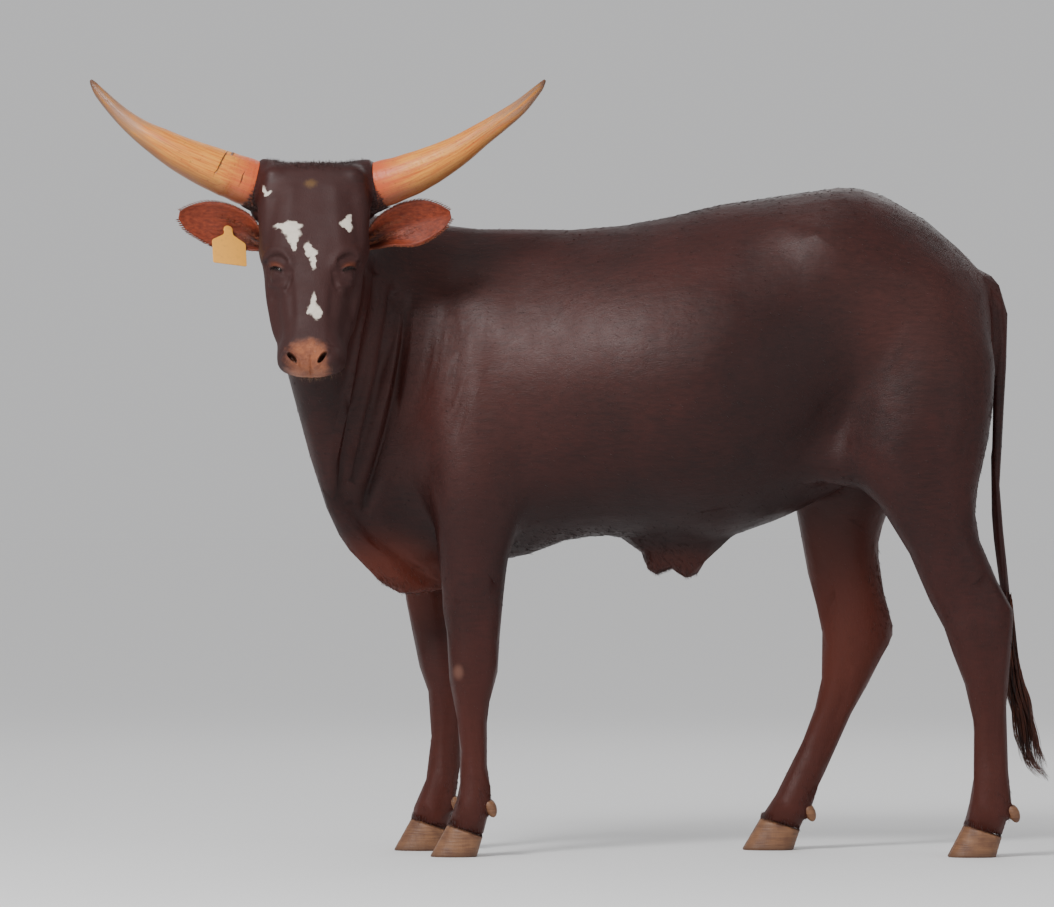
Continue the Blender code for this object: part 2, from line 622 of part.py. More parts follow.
def on_head(mesh, path):
    """Lays a path given in the head's frame on the skin."""
    at = coordinates(mesh)
    laid = []
    for spot in path:
        near = np.linalg.norm(at - np.array(head_point(*spot)), axis=1)
        laid.append(at[np.argmin(near)])
    return laid


def block(name, low, high, turn=Matrix(), seat=Vector()):
    """A box cutter between two corners."""
    shape = bmesh.new()
    low, high = Vector(low), Vector(high)
    size = Matrix.Diagonal((*(high - low), 1))
    bmesh.ops.create_cube(shape, size=1, matrix=Matrix.Translation(seat) @ turn.to_4x4()
                          @ Matrix.Translation((low + high) / 2) @ size)
    return cutter(gather(name, [shape]))


def cutter(thing):
    thing.hide_render = True
    thing.display_type = "WIRE"
    return thing


def carve(thing, tool, operation="DIFFERENCE"):
    cut = thing.modifiers.new("cut", "BOOLEAN")
    cut.operation = operation
    cut.solver = "EXACT"
    cut.object = tool
    return settle(thing)


def twin(thing, name):
    copy = bpy.data.objects.new(name, thing.data.copy())
    bpy.context.scene.collection.objects.link(copy)
    return copy


def discard(thing):
    bpy.data.objects.remove(thing)


def grown(thing, by):
    """A cutter in the shape of a piece, larger by so much on every side."""
    tool = cutter(twin(thing, "grown"))
    place(tool.data, coordinates(tool.data) + by * normals(tool.data))
    return tool


def seat(host, piece):
    """Sinks a piece into its host with the gap between them."""
    tool = grown(piece, GAP)
    carve(host, tool)
    discard(tool)


def part_by(thing, name, tool_low, tool_high, turn=Matrix(), centre=Vector()):
    """Takes what lies in a box off the flesh as a piece of its own, a gap apart."""
    half = Vector((GAP, GAP, GAP)) / 2
    inner = block("inner", Vector(tool_low) + half, Vector(tool_high) - half, turn, centre)
    outer = block("outer", Vector(tool_low) - half, Vector(tool_high) + half, turn, centre)
    piece = twin(thing, name)
    carve(piece, inner, "INTERSECT")
    carve(thing, outer)
    discard(inner)
    discard(outer)
    return piece


def facing(direction):
    """A turn that carries Z to the direction."""
    return Vector((0, 0, 1)).rotation_difference(direction.normalized()).to_matrix()


def horn(name, stations):
    return gather(name, [tube([c for c, r in stations], [r for c, r in stations], 14, 2)])


def ear(name, stations, side):
    """A cup-shaped leaf of skin, open towards the front."""
    centres = through([c for c, *_ in stations], 2)
    sizes = through([rest for c, *rest in stations], 2)
    shape = bmesh.new()
    grid = []
    for i, (centre, (upper, lower, depth)) in enumerate(zip(centres, sizes)):
        ahead = Vector(centres[min(i + 1, len(centres) - 1)] - centres[max(i - 1, 0)]).normalized()
        back = Vector((0, 1, 0))
        up = back.cross(ahead).normalized() * (-side)
        row = []
        for v in np.linspace(-1, 1, 7):
            reach = upper if v > 0 else lower
            spot = Vector(centre) + up * float(v * reach) + back * float(depth * (1 - v * v))
            row.append(shape.verts.new(spot))
        grid.append(row)
    for a, b in zip(grid, grid[1:]):
        for k in range(len(a) - 1):
            shape.faces.new((a[k], a[k + 1], b[k + 1], b[k]))
    bmesh.ops.recalc_face_normals(shape, faces=shape.faces)
    bmesh.ops.solidify(shape, geom=shape.faces, thickness=EAR_THICKNESS)
    bmesh.ops.recalc_face_normals(shape, faces=shape.faces)
    return gather(name, [shape])


def stud(radii, lengths, seat_at, turn):
    """A turned stud along Z: a disc, a pin and a disc, or the like."""
    rings, height = [], 0.0
    for radius, length in zip(radii, lengths):
        for rise in (height, height + length):
            angles = np.linspace(0, 2 * math.pi, 12, endpoint=False)
            spots = [Vector((radius * math.cos(a), radius * math.sin(a), rise)) for a in angles]
            rings.append([Vector(seat_at) + turn @ spot for spot in spots])
        height += length
    return loft(rings)


def ear_tag():
    """A plate with a narrow shoulder, hung in the cup of the right ear by a stud through it."""
    turn = Matrix()
    for angle, axis in zip(TAG_TURN, "XYZ"):
        turn = Matrix.Rotation(math.radians(angle), 4, axis) @ turn
    rings = []
    for depth in (0.0, TAG_THICKNESS):
        rings.append([TAG_TOP + turn @ Vector((x, -depth, z)) for x, z in TAG_OUTLINE])
    tag = gather("ear_tag", [loft(rings)])
    back = facing(turn @ Vector((0, 1, 0)))
    start = TAG_TOP + turn @ Vector((0, -0.001, -0.002))
    pin = cutter(gather("pin", [stud((STUD_RADIUS, 0.009), (TAG_STEM, 0.002), start, back)]))
    carve(tag, pin, "UNION")
    discard(pin)
    return tag


def ear_button():
    back = facing(Vector((0.0, 1, 0.1)))
    return gather("ear_button", [stud((0.0105, STUD_RADIUS, 0.009), (0.0028, 0.0085, 0.002), BUTTON_SEAT, back)])


def claw(name, sole, coronet, inner, width):
    """One half of a cloven hoof: flat sole, flat inner wall, curved outer wall and a pointed toe."""
    plan = ((0.00, 0.22), (0.03, 0.50), (0.16, 0.80), (0.38, 0.98), (0.64, 1.00), (0.86, 0.86), (0.98, 0.54),
            (1.00, 0.20), (0.95, 0.02), (0.68, 0.00), (0.34, 0.00), (0.08, 0.04))
    rings = []
    for rise, spread in ((0.0, 0.97), (0.12, 1.0), (0.55, 0.97), (1.0, 0.92)):
        ring = []
        for along, across in plan:
            front = sole[0] + (coronet[0] - sole[0]) * rise
            rear = sole[1] + (coronet[1] - sole[1]) * rise
            x = front + (rear - front) * along
            top = CORONET[0] + (CORONET[1] - CORONET[0]) * along - GAP
            ring.append((x, inner + width * across * spread, GROUND + top * rise))
        rings.append(ring)
    return gather(name, [loft(rings)])


def foot(leg, name, side, sole, coronet, y, dewclaw):
    """Trims the leg at the coronet and sets two claws and two dewclaws on it."""
    front, back = Vector((coronet[0], 0, GROUND + CORONET[0])), Vector((coronet[1], 0, GROUND + CORONET[1]))
    slope = (back - front).normalized()
    up = Vector((-slope.z, 0, slope.x))
    under = block("under", (-0.2, -0.2, -0.2), (0.2, 0.2, 0.0), facing(up), front + Vector((0, side * y, 0)))
    carve(leg, under)
    discard(under)
    for place_name, way in (("inner", -side), ("outer", side)):
        inner = side * y + way * CLEFT / 2
        claw(f"claw_{name}_{place_name}", sole, coronet, inner, way * CLAW_WIDTH)
        path = [(dewclaw[0] + x, side * y + way * DEWCLAW_ASIDE, dewclaw[1] + z) for (x, z), radius in DEWCLAW]
        dew = gather(f"dewclaw_{name}_{place_name}", [tube(path, [radius for at, radius in DEWCLAW], 8, 1)])
        seat(leg, dew)


def switch():
    """Hanging locks of hair, flat and tapered, that overlap round a common root."""
    chance = random.Random(7)
    path = through(SWITCH_PATH, 3)
    core = gather("tail_switch", [tube(SWITCH_PATH, SWITCH_RADII, 6, 2)])
    for i in range(LOCKS):
        angle = 2 * math.pi * (i + chance.uniform(-0.3, 0.3)) / LOCKS
        begin = int(chance.uniform(0.5, 6.0))
        end = min(len(path) - 1, begin + chance.randint(7, 10))
        out = Vector((math.cos(angle), math.sin(angle), 0.0))
        wide = chance.uniform(0.006, 0.009)
        rings = []
        for k in range(begin, end + 1, 2):
            share = (k - begin) / (end - begin)
            centre = Vector(path[k]) + out * (0.010 + 0.009 * math.sin(2.4 * share)) * (1.1 - 0.5 * share)
            centre.z -= 0.020 * share * chance.uniform(0.2, 1.0)
            across = Vector((-out.y, out.x, 0.0))
            half, thick = wide * (1.05 - share) ** 0.6, 0.0045 * (1.08 - share)
            rings.append([centre + across * half, centre + out * thick, centre - across * half, centre - out * thick])
        lock = cutter(gather("lock", [loft(rings)]))
        carve(core, lock, "UNION")
        discard(lock)
    return core


def material(name, colour, rough):
    made = bpy.data.materials.new(name)
    made.use_nodes = True
    shader = made.node_tree.nodes["Principled BSDF"]
    shader.inputs["Base Color"].default_value = (*colour, 1)
    shader.inputs["Roughness"].default_value = rough
    return made


# Strokes worked into the skin: path, width, and how far they raise or sink it. Those of the neck and brisket lie
# on the near side, as places along and above the body, the others on both sides, and the face has its own frame.
FOLDS = (
    (((-0.412, 1.165), (-0.430, 1.030), (-0.453, 0.900), (-0.470, 0.790)), 0.014, -0.0070),
    (((-0.375, 1.100), (-0.400, 0.960), (-0.430, 0.830), (-0.452, 0.720)), 0.014, -0.0060),
    (((-0.332, 1.060), (-0.352, 0.925), (-0.385, 0.790), (-0.420, 0.680)), 0.014, -0.0050),
    (((-0.395, 1.130), (-0.417, 0.995), (-0.443, 0.865), (-0.463, 0.750)), 0.012, 0.0055),
    (((-0.354, 1.080), (-0.376, 0.940), (-0.408, 0.810), (-0.438, 0.700)), 0.012, 0.0045),
    (((-0.470, 0.668), (-0.448, 0.625), (-0.412, 0.590), (-0.372, 0.560)), 0.013, -0.0050),
    (((-0.455, 0.700), (-0.420, 0.655), (-0.375, 0.622), (-0.335, 0.590)), 0.013, -0.0050),
    (((-0.455, 0.684), (-0.430, 0.640), (-0.393, 0.605), (-0.352, 0.575)), 0.012, 0.0040),
)
DEWLAP_EDGE = (
    ((-0.500, 0.668), 0.018, 0.0140),
    ((-0.481, 0.632), 0.009, -0.0060),
    ((-0.462, 0.602), 0.012, 0.0050),
    ((-0.442, 0.578), 0.008, -0.0050),
    ((-0.421, 0.552), 0.013, 0.0060),
    ((-0.385, 0.510), 0.015, 0.0030),
)
BOTH_SIDES = (
    (((0.455, 1.255), (0.510, 1.235), (0.555, 1.205)), 0.050, 0.0060),
    (((0.510, 1.230), (0.470, 1.130), (0.370, 1.030), (0.250, 0.960)), 0.022, 0.0050),
    (((0.600, 1.100), (0.700, 1.060), (0.800, 1.080)), 0.040, -0.0060),
    (((0.420, 1.120), (0.380, 1.180), (0.300, 1.200)), 0.055, -0.0060),
    (((0.560, 0.900), (0.520, 0.820), (0.470, 0.740)), 0.040, -0.0040),
    (((-0.050, 1.150), (-0.040, 1.000), (-0.070, 0.850)), 0.028, -0.0070),
    (((-0.200, 1.180), (-0.240, 1.020), (-0.290, 0.880)), 0.020, 0.0045),
    (((0.640, 0.780), (0.680, 0.740)), 0.035, 0.0060),
)
FACE = (
    (((0.046, 0.228, -0.004), (0.058, 0.200, -0.010), (0.080, 0.186, -0.024), (0.102, 0.196, -0.046)), 0.0100, 0.0035),
    (((0.050, 0.238, -0.006), (0.061, 0.214, -0.012), (0.080, 0.203, -0.024), (0.098, 0.208, -0.045)), 0.0050, -0.0035),
    (((0.054, 0.254, -0.010), (0.073, 0.258, -0.024), (0.092, 0.246, -0.048)), 0.0060, -0.0030),
    (((0.052, 0.266, -0.01), (0.049, 0.310, -0.014), (0.046, 0.355, -0.018)), 0.0140, -0.0030),
    (((0.078, 0.270, -0.05), (0.070, 0.320, -0.06), (0.062, 0.370, -0.06)), 0.0180, -0.0050),
    (((0.092, 0.245, -0.07), (0.084, 0.300, -0.08), (0.075, 0.340, -0.085)), 0.0120, 0.0030),
    (((0.0, 0.446, -0.085), (0.035, 0.440, -0.086), (0.059, 0.413, -0.087), (0.068, 0.375, -0.094)), 0.0055, -0.0080),
    (((0.018, 0.430, -0.004), (0.032, 0.426, -0.006), (0.044, 0.440, -0.020)), 0.0060, 0.0030),
    (((0.0, 0.438, -0.020), (0.0, 0.452, -0.046), (0.0, 0.451, -0.070)), 0.0060, -0.0025),
)


def sculpt(mesh):
    """Works the folds of the neck and brisket and the forms of the face into the skin."""
    for path, width, rise in FOLDS:
        stroke(mesh, trace(mesh, -1, path), width, rise)
    for (x, z), width, rise in DEWLAP_EDGE:
        stroke(mesh, ((x, -0.02, z), (x, 0.02, z)), width, rise)
    for path, width, rise in BOTH_SIDES:
        for side in (-1, 1):
            stroke(mesh, trace(mesh, side, path), width, rise)
    for path, width, rise in FACE:
        for side in (-1, 1):
            stroke(mesh, on_head(mesh, [(side * s, t, n) for s, t, n in path]), width, rise)


def eye(name, side):
    s, t, n = EYE_SEAT
    return gather(name, [ball(head_point(side * s, t, n), [EYE_RADIUS] * 3, Matrix(), 2)])


def open_lids(head, side):
    """Cuts the slit between the lids in front of the eyeball."""
    out = (head_frame() @ Vector((side * EYE_OUT.x, EYE_OUT.y, EYE_OUT.z))).normalized()
    along = head_frame() @ Vector((side * EYE_ALONG.x, EYE_ALONG.y, EYE_ALONG.z))
    along = (along - along.dot(out) * out).normalized()
    turn = Matrix((along, out.cross(along), out)).transposed()
    s, t, n = EYE_SEAT
    centre = head_point(side * s, t, n) + out * (EYE_RADIUS + 0.003)
    slit = cutter(gather("slit", [ball(centre, (SLIT[0], SLIT[1], 0.014), turn)]))
    carve(head, slit)
    discard(slit)


def open_nostril(head, side):
    x, z = NOSTRILS[side > 0]
    skin = trace(head.data, -1, [(x, z)])[0]
    turn = head_frame() @ Matrix.Rotation(math.radians(side * 42), 3, "Z")
    hole = cutter(gather("hole", [ball((x, float(skin[1]), z), NOSTRIL_RADII, turn, 2)]))
    carve(head, hole)
    discard(hole)


def largest(thing):
    """Keeps the largest closed surface of a piece."""
    shape = bmesh.new()
    shape.from_mesh(thing.data)
    left, groups = set(shape.verts), []
    while left:
        group, reach = set(), [left.pop()]
        while reach:
            vert = reach.pop()
            group.add(vert)
            for edge in vert.link_edges:
                other = edge.other_vert(vert)
                if other in left:
                    left.discard(other)
                    reach.append(other)
        groups.append(group)
    groups.sort(key=len)
    for group in groups[:-1]:
        bmesh.ops.delete(shape, geom=list(group), context="VERTS")
    shape.to_mesh(thing.data)
    shape.free()


def paint(thing, made):
    thing.data.materials.clear()
    thing.data.materials.append(made)


def main():
    clear()
    shapes = trunk_masses() + neck_masses() + head_masses() + showing_masses()
    shapes += leg_masses(LEFT_HIND, "hind_left", -1) + leg_masses(RIGHT_HIND, "hind_right", 1)
    shapes += leg_masses(LEFT_FORE, "fore_left", -1) + leg_masses(RIGHT_FORE, "fore_right", 1)
    torso = flesh("torso", shapes, 0.004, (("all", 12, everywhere), ("trunk", 80, on_trunk)))
    sculpt(torso.data)
    thin(torso, TRIANGLES, fine_detail)

    big = 0.30
    head = part_by(torso, "head", (-big, -big, 0), (big, big, 0.6), facing(HEAD_CUT[1]), HEAD_CUT[0])
    neck = part_by(torso, "neck", (-0.5, -0.5, 0), (0.5, 0.5, 0.6), facing(NECK_CUT[1]), NECK_CUT[0])
    for name, (side, rear, front, height) in LEG_BOXES.items():
        across = sorted((side * LEG_INSIDE, side * 0.40))
        leg = part_by(torso, name, (rear, across[0], -0.1), (front, across[1], height))
        short = name.replace("leg", "")
        foot(leg, short, *FEET[short])

    for side, hand in ((-1, "right"), (1, "left")):
        ball_piece = eye(f"eye_{hand}", side)
        seat(head, ball_piece)
        open_lids(head, side)
        open_nostril(head, side)
    for piece in (horn("horn_right", RIGHT_HORN), horn("horn_left", LEFT_HORN)):
        seat(head, piece)
    right_ear, left_ear = ear("ear_right", RIGHT_EAR, -1), ear("ear_left", LEFT_EAR, 1)
    seat(head, right_ear)
    seat(head, left_ear)
    seat(right_ear, ear_tag())
    seat(left_ear, ear_button())
    tail = gather("tail", [tube([c for c, r in TAIL], [r for c, r in TAIL], 8, 2)])
    seat(torso, tail)
    seat(tail, switch())

    coat = material("coat", (0.07, 0.03, 0.025), 0.45)
    finish = {
        "horn": material("horn", (0.55, 0.33, 0.14), 0.4),
        "claw": material("claw", (0.35, 0.20, 0.10), 0.5),
        "dewclaw": material("claw_small", (0.35, 0.20, 0.10), 0.5),
        "eye": material("eye", (0.03, 0.02, 0.02), 0.1),
        "ear": material("ear_skin", (0.30, 0.10, 0.04), 0.6),
        "ear_tag": material("tag_plastic", (0.90, 0.60, 0.12), 0.5),
        "ear_button": material("button_plastic", (0.85, 0.80, 0.55), 0.5),
        "tail_switch": material("tail_hair", (0.08, 0.03, 0.02), 0.6),
    }
    pieces = list(bpy.data.objects)
    for thing in pieces:
        largest(thing)
        paint(thing, finish.get(thing.name, finish.get(thing.name.split("_")[0], coat)))

    spots = np.concatenate([coordinates(thing.data) for thing in pieces])
    low, high = spots.min(axis=0), spots.max(axis=0)
    shift = -np.array(((low[0] + high[0]) / 2, (low[1] + high[1]) / 2, low[2]))
    for thing in pieces:
        place(thing.data, coordinates(thing.data) + shift)


main()
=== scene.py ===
"""A young long-horned bovine, life size, standing side on with its head turned out over its left shoulder.

The animal faces -X and its left side faces -Y. Places on the body are given in its own middle frame, in
metres from the ground below the withers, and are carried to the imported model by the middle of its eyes.
"""

import json
import math
import random

import bmesh
import bpy
import numpy as np
from mathutils import Matrix, Vector
from mathutils.bvhtree import BVHTree

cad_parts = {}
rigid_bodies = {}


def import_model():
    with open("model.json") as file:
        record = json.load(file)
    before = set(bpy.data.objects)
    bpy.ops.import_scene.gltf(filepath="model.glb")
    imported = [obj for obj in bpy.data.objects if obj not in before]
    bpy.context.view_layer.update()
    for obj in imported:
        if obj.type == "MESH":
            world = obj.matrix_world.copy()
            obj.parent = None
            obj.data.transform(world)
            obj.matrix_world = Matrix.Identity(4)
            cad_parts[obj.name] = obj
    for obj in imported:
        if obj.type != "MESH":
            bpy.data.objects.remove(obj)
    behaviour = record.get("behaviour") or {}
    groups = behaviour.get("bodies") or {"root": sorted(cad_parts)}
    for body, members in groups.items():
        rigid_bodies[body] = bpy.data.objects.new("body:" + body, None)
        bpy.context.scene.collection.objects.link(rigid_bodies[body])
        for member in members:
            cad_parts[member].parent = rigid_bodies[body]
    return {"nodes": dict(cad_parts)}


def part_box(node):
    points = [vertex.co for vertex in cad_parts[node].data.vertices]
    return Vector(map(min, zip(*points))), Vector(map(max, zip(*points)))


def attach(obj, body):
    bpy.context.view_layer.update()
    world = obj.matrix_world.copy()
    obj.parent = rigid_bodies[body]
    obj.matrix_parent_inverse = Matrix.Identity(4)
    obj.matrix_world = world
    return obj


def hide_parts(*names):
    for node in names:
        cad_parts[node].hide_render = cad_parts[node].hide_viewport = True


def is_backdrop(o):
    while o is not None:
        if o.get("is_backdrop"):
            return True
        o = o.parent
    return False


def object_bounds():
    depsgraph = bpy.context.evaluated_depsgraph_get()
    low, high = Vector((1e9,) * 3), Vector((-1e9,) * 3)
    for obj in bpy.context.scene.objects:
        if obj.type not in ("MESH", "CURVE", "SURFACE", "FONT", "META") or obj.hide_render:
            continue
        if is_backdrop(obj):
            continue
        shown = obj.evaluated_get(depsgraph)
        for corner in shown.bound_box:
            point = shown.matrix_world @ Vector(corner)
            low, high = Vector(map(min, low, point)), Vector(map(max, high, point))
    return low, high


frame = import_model()
solid_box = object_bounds()


# The skin of the whole body is one hide with no seam, stretched over muscle and bone. It is modelled from
# the flesh of the head, neck, trunk, legs and tail, fused, evened out and sunk by the depth of the coat.
FLESH = ("torso", "head", "neck", "foreleg_left", "foreleg_right", "hindleg_left", "hindleg_right", "tail")
COAT_DEPTH = 0.0012
MERGE = 0.00001
SKIN_GRAIN = 0.0042
SKIN_TRIANGLES = 190000
HEAD_PITCH = math.radians(25)
HEAD_YAW = math.radians(1)
POLL = Vector((-0.522, -0.330, 1.380))
EYE_SEAT = Vector((0.0640, 0.2280, -0.0385))
EYE_RADIUS = 0.0180
EYE_PLUG_SWELL = 0.0012
HORN_ROOT_RADIUS = 0.0500
EAR_ROOT_RADIUS = 0.020
DEWCLAW_ROOT_RADIUS = 0.012
ALL_OVER_ROUNDS = 12
TRUNK_ROUNDS, TRUNK_SWELL = 260, 0.0022
SHANK_ROUNDS, SHANK_SWELL = 70, 0.0016


def middle(node):
    low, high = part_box(node)
    return (low + high) / 2


turn = Matrix.Rotation(-HEAD_YAW, 3, "Z")
to_left = turn @ Vector((1, 0, 0))
down_face = turn @ Vector((0, -math.sin(HEAD_PITCH), -math.cos(HEAD_PITCH)))
HEAD_TURN = Matrix((to_left, down_face, down_face.cross(to_left))).transposed()
EYE_MIDDLE = (middle("eye_left") + middle("eye_right")) / 2
HEAD_ORIGIN = EYE_MIDDLE - HEAD_TURN @ Vector((0, EYE_SEAT.y, EYE_SEAT.z))
MIDDLE = HEAD_ORIGIN - POLL


def on_body(x, y, z):
    """A place in the animal's middle frame, carried to the model."""
    return MIDDLE + Vector((x, y, z))


def on_head(s, t, n):
    """A place on the head: s to its left, t from the poll down the face, n out of the forehead."""
    return HEAD_ORIGIN + HEAD_TURN @ Vector((float(s), float(t), float(n)))


def placed(name, data):
    """An object of this data, put in the scene."""
    thing = bpy.data.objects.new(name, data)
    bpy.context.scene.collection.objects.link(thing)
    return thing


def piece(name, shape, smooth=True):
    """Makes an object of a bmesh, riding on the body."""
    mesh = bpy.data.meshes.new(name)
    shape.to_mesh(mesh)
    shape.free()
    thing = placed(name, mesh)
    if smooth:
        mesh.shade_smooth()
    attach(thing, "root")
    return thing


def settle(thing):
    """Replaces an object's mesh by what its modifiers make of it."""
    bpy.context.view_layer.update()
    made = bpy.data.meshes.new_from_object(thing.evaluated_get(bpy.context.evaluated_depsgraph_get()))
    thing.modifiers.clear()
    thing.data = made


def coordinates(mesh):
    flat = np.empty(3 * len(mesh.vertices))
    mesh.vertices.foreach_get("co", flat)
    return flat.reshape(-1, 3)


def normals(mesh):
    flat = np.empty(3 * len(mesh.vertices))
    mesh.vertex_normals.foreach_get("vector", flat)
    return flat.reshape(-1, 3)


def place(mesh, points):
    mesh.vertices.foreach_set("co", np.asarray(points, float).ravel())
    mesh.update()


def swell(mesh, rises):
    place(mesh, coordinates(mesh) + normals(mesh) * rises[:, None])


def fade(values, low, high):
    """Goes smoothly from 0 at low to 1 at high."""
    share = np.clip((values - low) / (high - low), 0, 1)
    return share * share * (3 - 2 * share)


def weigh(thing, name, shares):
    """Gives the object a vertex group with these weights, in steps of a twentieth."""
    group = thing.vertex_groups.new(name=name)
    steps = np.round(shares * 20).astype(int)
    for step in range(1, 21):
        group.add(np.flatnonzero(steps == step).tolist(), step / 20, "REPLACE")


def even_out(thing, times, shares):
    weigh(thing, "even", shares)
    soften = thing.modifiers.new("soften", "SMOOTH")
    soften.factor = 0.5
    soften.iterations = times
    soften.vertex_group = "even"
    settle(thing)
    thing.vertex_groups.clear()


def eye_place(side):
    return on_head(side * EYE_SEAT.x, EYE_SEAT.y, EYE_SEAT.z)


def add_ball(shape, centre, radius, around, rows):
    seat = Matrix.Translation(centre)
    bmesh.ops.create_uvsphere(shape, u_segments=around, v_segments=rows, radius=radius, matrix=seat)


def length_of(rows):
    return np.linalg.norm(rows, axis=1)


def on_face(at):
    """1 on the head and 0 behind it."""
    out = at - np.array(HEAD_ORIGIN)
    return (1 - fade(out[:, 1], 0.05, 0.13)) * (1 - fade(out[:, 0], 0.13, 0.18))


def on_legs(at):
    """1 on the lower legs, 0 on the trunk."""
    return 1 - fade(at[:, 2] - MIDDLE.z, 0.52, 0.72)


flesh = bmesh.new()
for node in FLESH:
    flesh.from_mesh(frame["nodes"][node].data)
bmesh.ops.remove_doubles(flesh, verts=flesh.verts, dist=MERGE)
for side in (-1, 1):
    add_ball(flesh, eye_place(side), EYE_RADIUS + EYE_PLUG_SWELL, 24, 16)
HORN_ROOTS = ((-0.612, -0.262, 1.324), (-0.630, -0.265, 1.331), (-0.428, -0.262, 1.324),
              (-0.410, -0.265, 1.330))
for root in HORN_ROOTS:
    add_ball(flesh, on_body(*root), HORN_ROOT_RADIUS, 24, 16)
EAR_ROOTS = ((-0.612, -0.283, 1.212), (-0.430, -0.283, 1.214))
for root in EAR_ROOTS:
    add_ball(flesh, on_body(*root), EAR_ROOT_RADIUS, 16, 12)
for node in frame["nodes"]:
    if node.startswith("dewclaw"):
        add_ball(flesh, middle(node), DEWCLAW_ROOT_RADIUS, 12, 8)
skin = piece("hide", flesh)
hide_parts(*FLESH)
fuse = skin.modifiers.new("fuse", "REMESH")
fuse.mode = "VOXEL"
fuse.voxel_size = SKIN_GRAIN
settle(skin)
at = coordinates(skin.data)
tail = fade(at[:, 0], MIDDLE.x + 0.855, MIDDLE.x + 0.880) * (1 - fade(abs(at[:, 1] - MIDDLE.y), 0.03, 0.05))
even_out(skin, ALL_OVER_ROUNDS, 1 - 0.8 * tail)
on_trunk = (1 - on_face(at)) * (1 - on_legs(at)) * (1 - tail)
even_out(skin, TRUNK_ROUNDS, on_trunk)
swell(skin.data, TRUNK_SWELL * on_trunk)
on_shanks = on_legs(at) * (1 - tail) * fade(at[:, 2] - MIDDLE.z, 0.015, 0.060)
even_out(skin, SHANK_ROUNDS, on_shanks)
swell(skin.data, SHANK_SWELL * on_shanks)
skin.data.shade_smooth()


# The hide shows what lies under it: folds where the neck bends, wrinkles behind the elbow and at the flank,
# faint ribs, veins, tendons, and on the face the bones, the lids, the nostrils and the lips.
def smooth_path(points, steps):
    """A smooth run through the given points with that many steps between each two."""
    points = np.asarray(points, float)
    count = len(points)
    run = []
    for i in range(count - 1):
        a, b, c, d = (points[min(max(i + k, 0), count - 1)] for k in (-1, 0, 1, 2))
        for u in np.arange(steps) / steps:
            run.append(0.5 * (2 * b + (c - a) * u + (2 * a - 5 * b + 4 * c - d) * u**2
                              + (3 * b - a - 3 * c + d) * u**3))
    run.append(points[-1])
    return np.array(run)


def refine(mesh, inside):
    """Halves the faces whose corners all lie inside."""
    shape = bmesh.new()
    shape.from_mesh(mesh)
    shape.verts.ensure_lookup_table()
    chosen = inside(coordinates(mesh))
    edges = [e for e in shape.edges if chosen[e.verts[0].index] and chosen[e.verts[1].index]]
    bmesh.ops.subdivide_edges(shape, edges=edges, cuts=1, use_grid_fill=True)
    shape.to_mesh(mesh)
    shape.free()


FAR = 9.0
EYE_REACH = 0.034
FACE_ROUNDS, LID_ROUNDS = 10, 8


def near_eyes(at):
    reach = np.full(len(at), FAR)
    for side in (-1, 1):
        eye = np.array(eye_place(side))
        reach = np.minimum(reach, length_of(at - eye))
    return reach < EYE_REACH


refine(skin.data, lambda at: on_face(at) > 0.6)
even_out(skin, FACE_ROUNDS, on_face(coordinates(skin.data)))
refine(skin.data, near_eyes)
even_out(skin, LID_ROUNDS, near_eyes(coordinates(skin.data)).astype(float))
body_tree = BVHTree.FromPolygons(coordinates(skin.data).tolist(),
                                 [tuple(p.vertices) for p in skin.data.polygons])


def seen_from(side, path):
    """Lays a path given along and above the body on the skin, as seen from one side."""
    laid = []
    for x, z in path:
        start = on_body(x, side * 1.5, z)
        hit = body_tree.ray_cast(start, Vector((0, -side, 0)))[0]
        laid.append(hit or body_tree.find_nearest(on_body(x, side * 0.1, z))[0])
    return laid


def laid_on_head(path):
    return [body_tree.find_nearest(on_head(*spot))[0] for spot in path]


skin_at, skin_out = coordinates(skin.data), normals(skin.data)


def stroke(path, width, rise):
    """Raises or sinks the skin along a path, fading with the distance from it."""
    path = smooth_path(path, 6)
    low, high = path.min(axis=0) - 3 * width, path.max(axis=0) + 3 * width
    near = ((skin_at > low) & (skin_at < high)).all(axis=1)
    at = skin_at[near]
    nearest = np.full(len(at), FAR)
    for start, step in zip(path[:-1], path[1:] - path[:-1]):
        share = np.clip(((at - start) @ step) / max(step @ step, 1e-12), 0, 1)
        nearest = np.minimum(nearest, length_of(at - start - share[:, None] * step))
    skin_at[near] = at + skin_out[near] * (rise * np.exp(-((nearest / width) ** 2)))[:, None]


def both(path, width, rise):
    for side in (-1, 1):
        stroke(seen_from(side, path), width, rise)


def near_side(path, width, rise):
    stroke(seen_from(-1, path), width, rise)


def face(path, width, rise):
    for side in (-1, 1):
        stroke(laid_on_head([(side * s, t, n) for s, t, n in path]), width, rise)


chance = random.Random(11)
NECK_FOLDS = (
    ((-0.396, 1.150), (-0.414, 1.030), (-0.438, 0.900), (-0.462, 0.790), (-0.476, 0.700)),
    ((-0.366, 1.110), (-0.388, 0.960), (-0.420, 0.830), (-0.446, 0.730)),
    ((-0.336, 1.080), (-0.352, 0.940), (-0.385, 0.800), (-0.420, 0.680)),
)
for fold in NECK_FOLDS:
    near_side(fold, 0.0080, -0.0130)
    near_side([(x - 0.016, z) for x, z in fold], 0.0090, 0.0060)
    near_side([(x + 0.018, z - 0.010) for x, z in fold], 0.0090, 0.0050)
for i in range(9):
    start = (-0.352 + 0.019 * i, 1.125 - 0.010 * i)
    bend = (start[0] - 0.012 + chance.uniform(-0.004, 0.004), start[1] - 0.110)
    stop = (bend[0] - 0.030, bend[1] - chance.uniform(0.08, 0.13))
    near_side((start, bend, stop), 0.0055, -0.0038)
BRISKET_FOLDS = 9
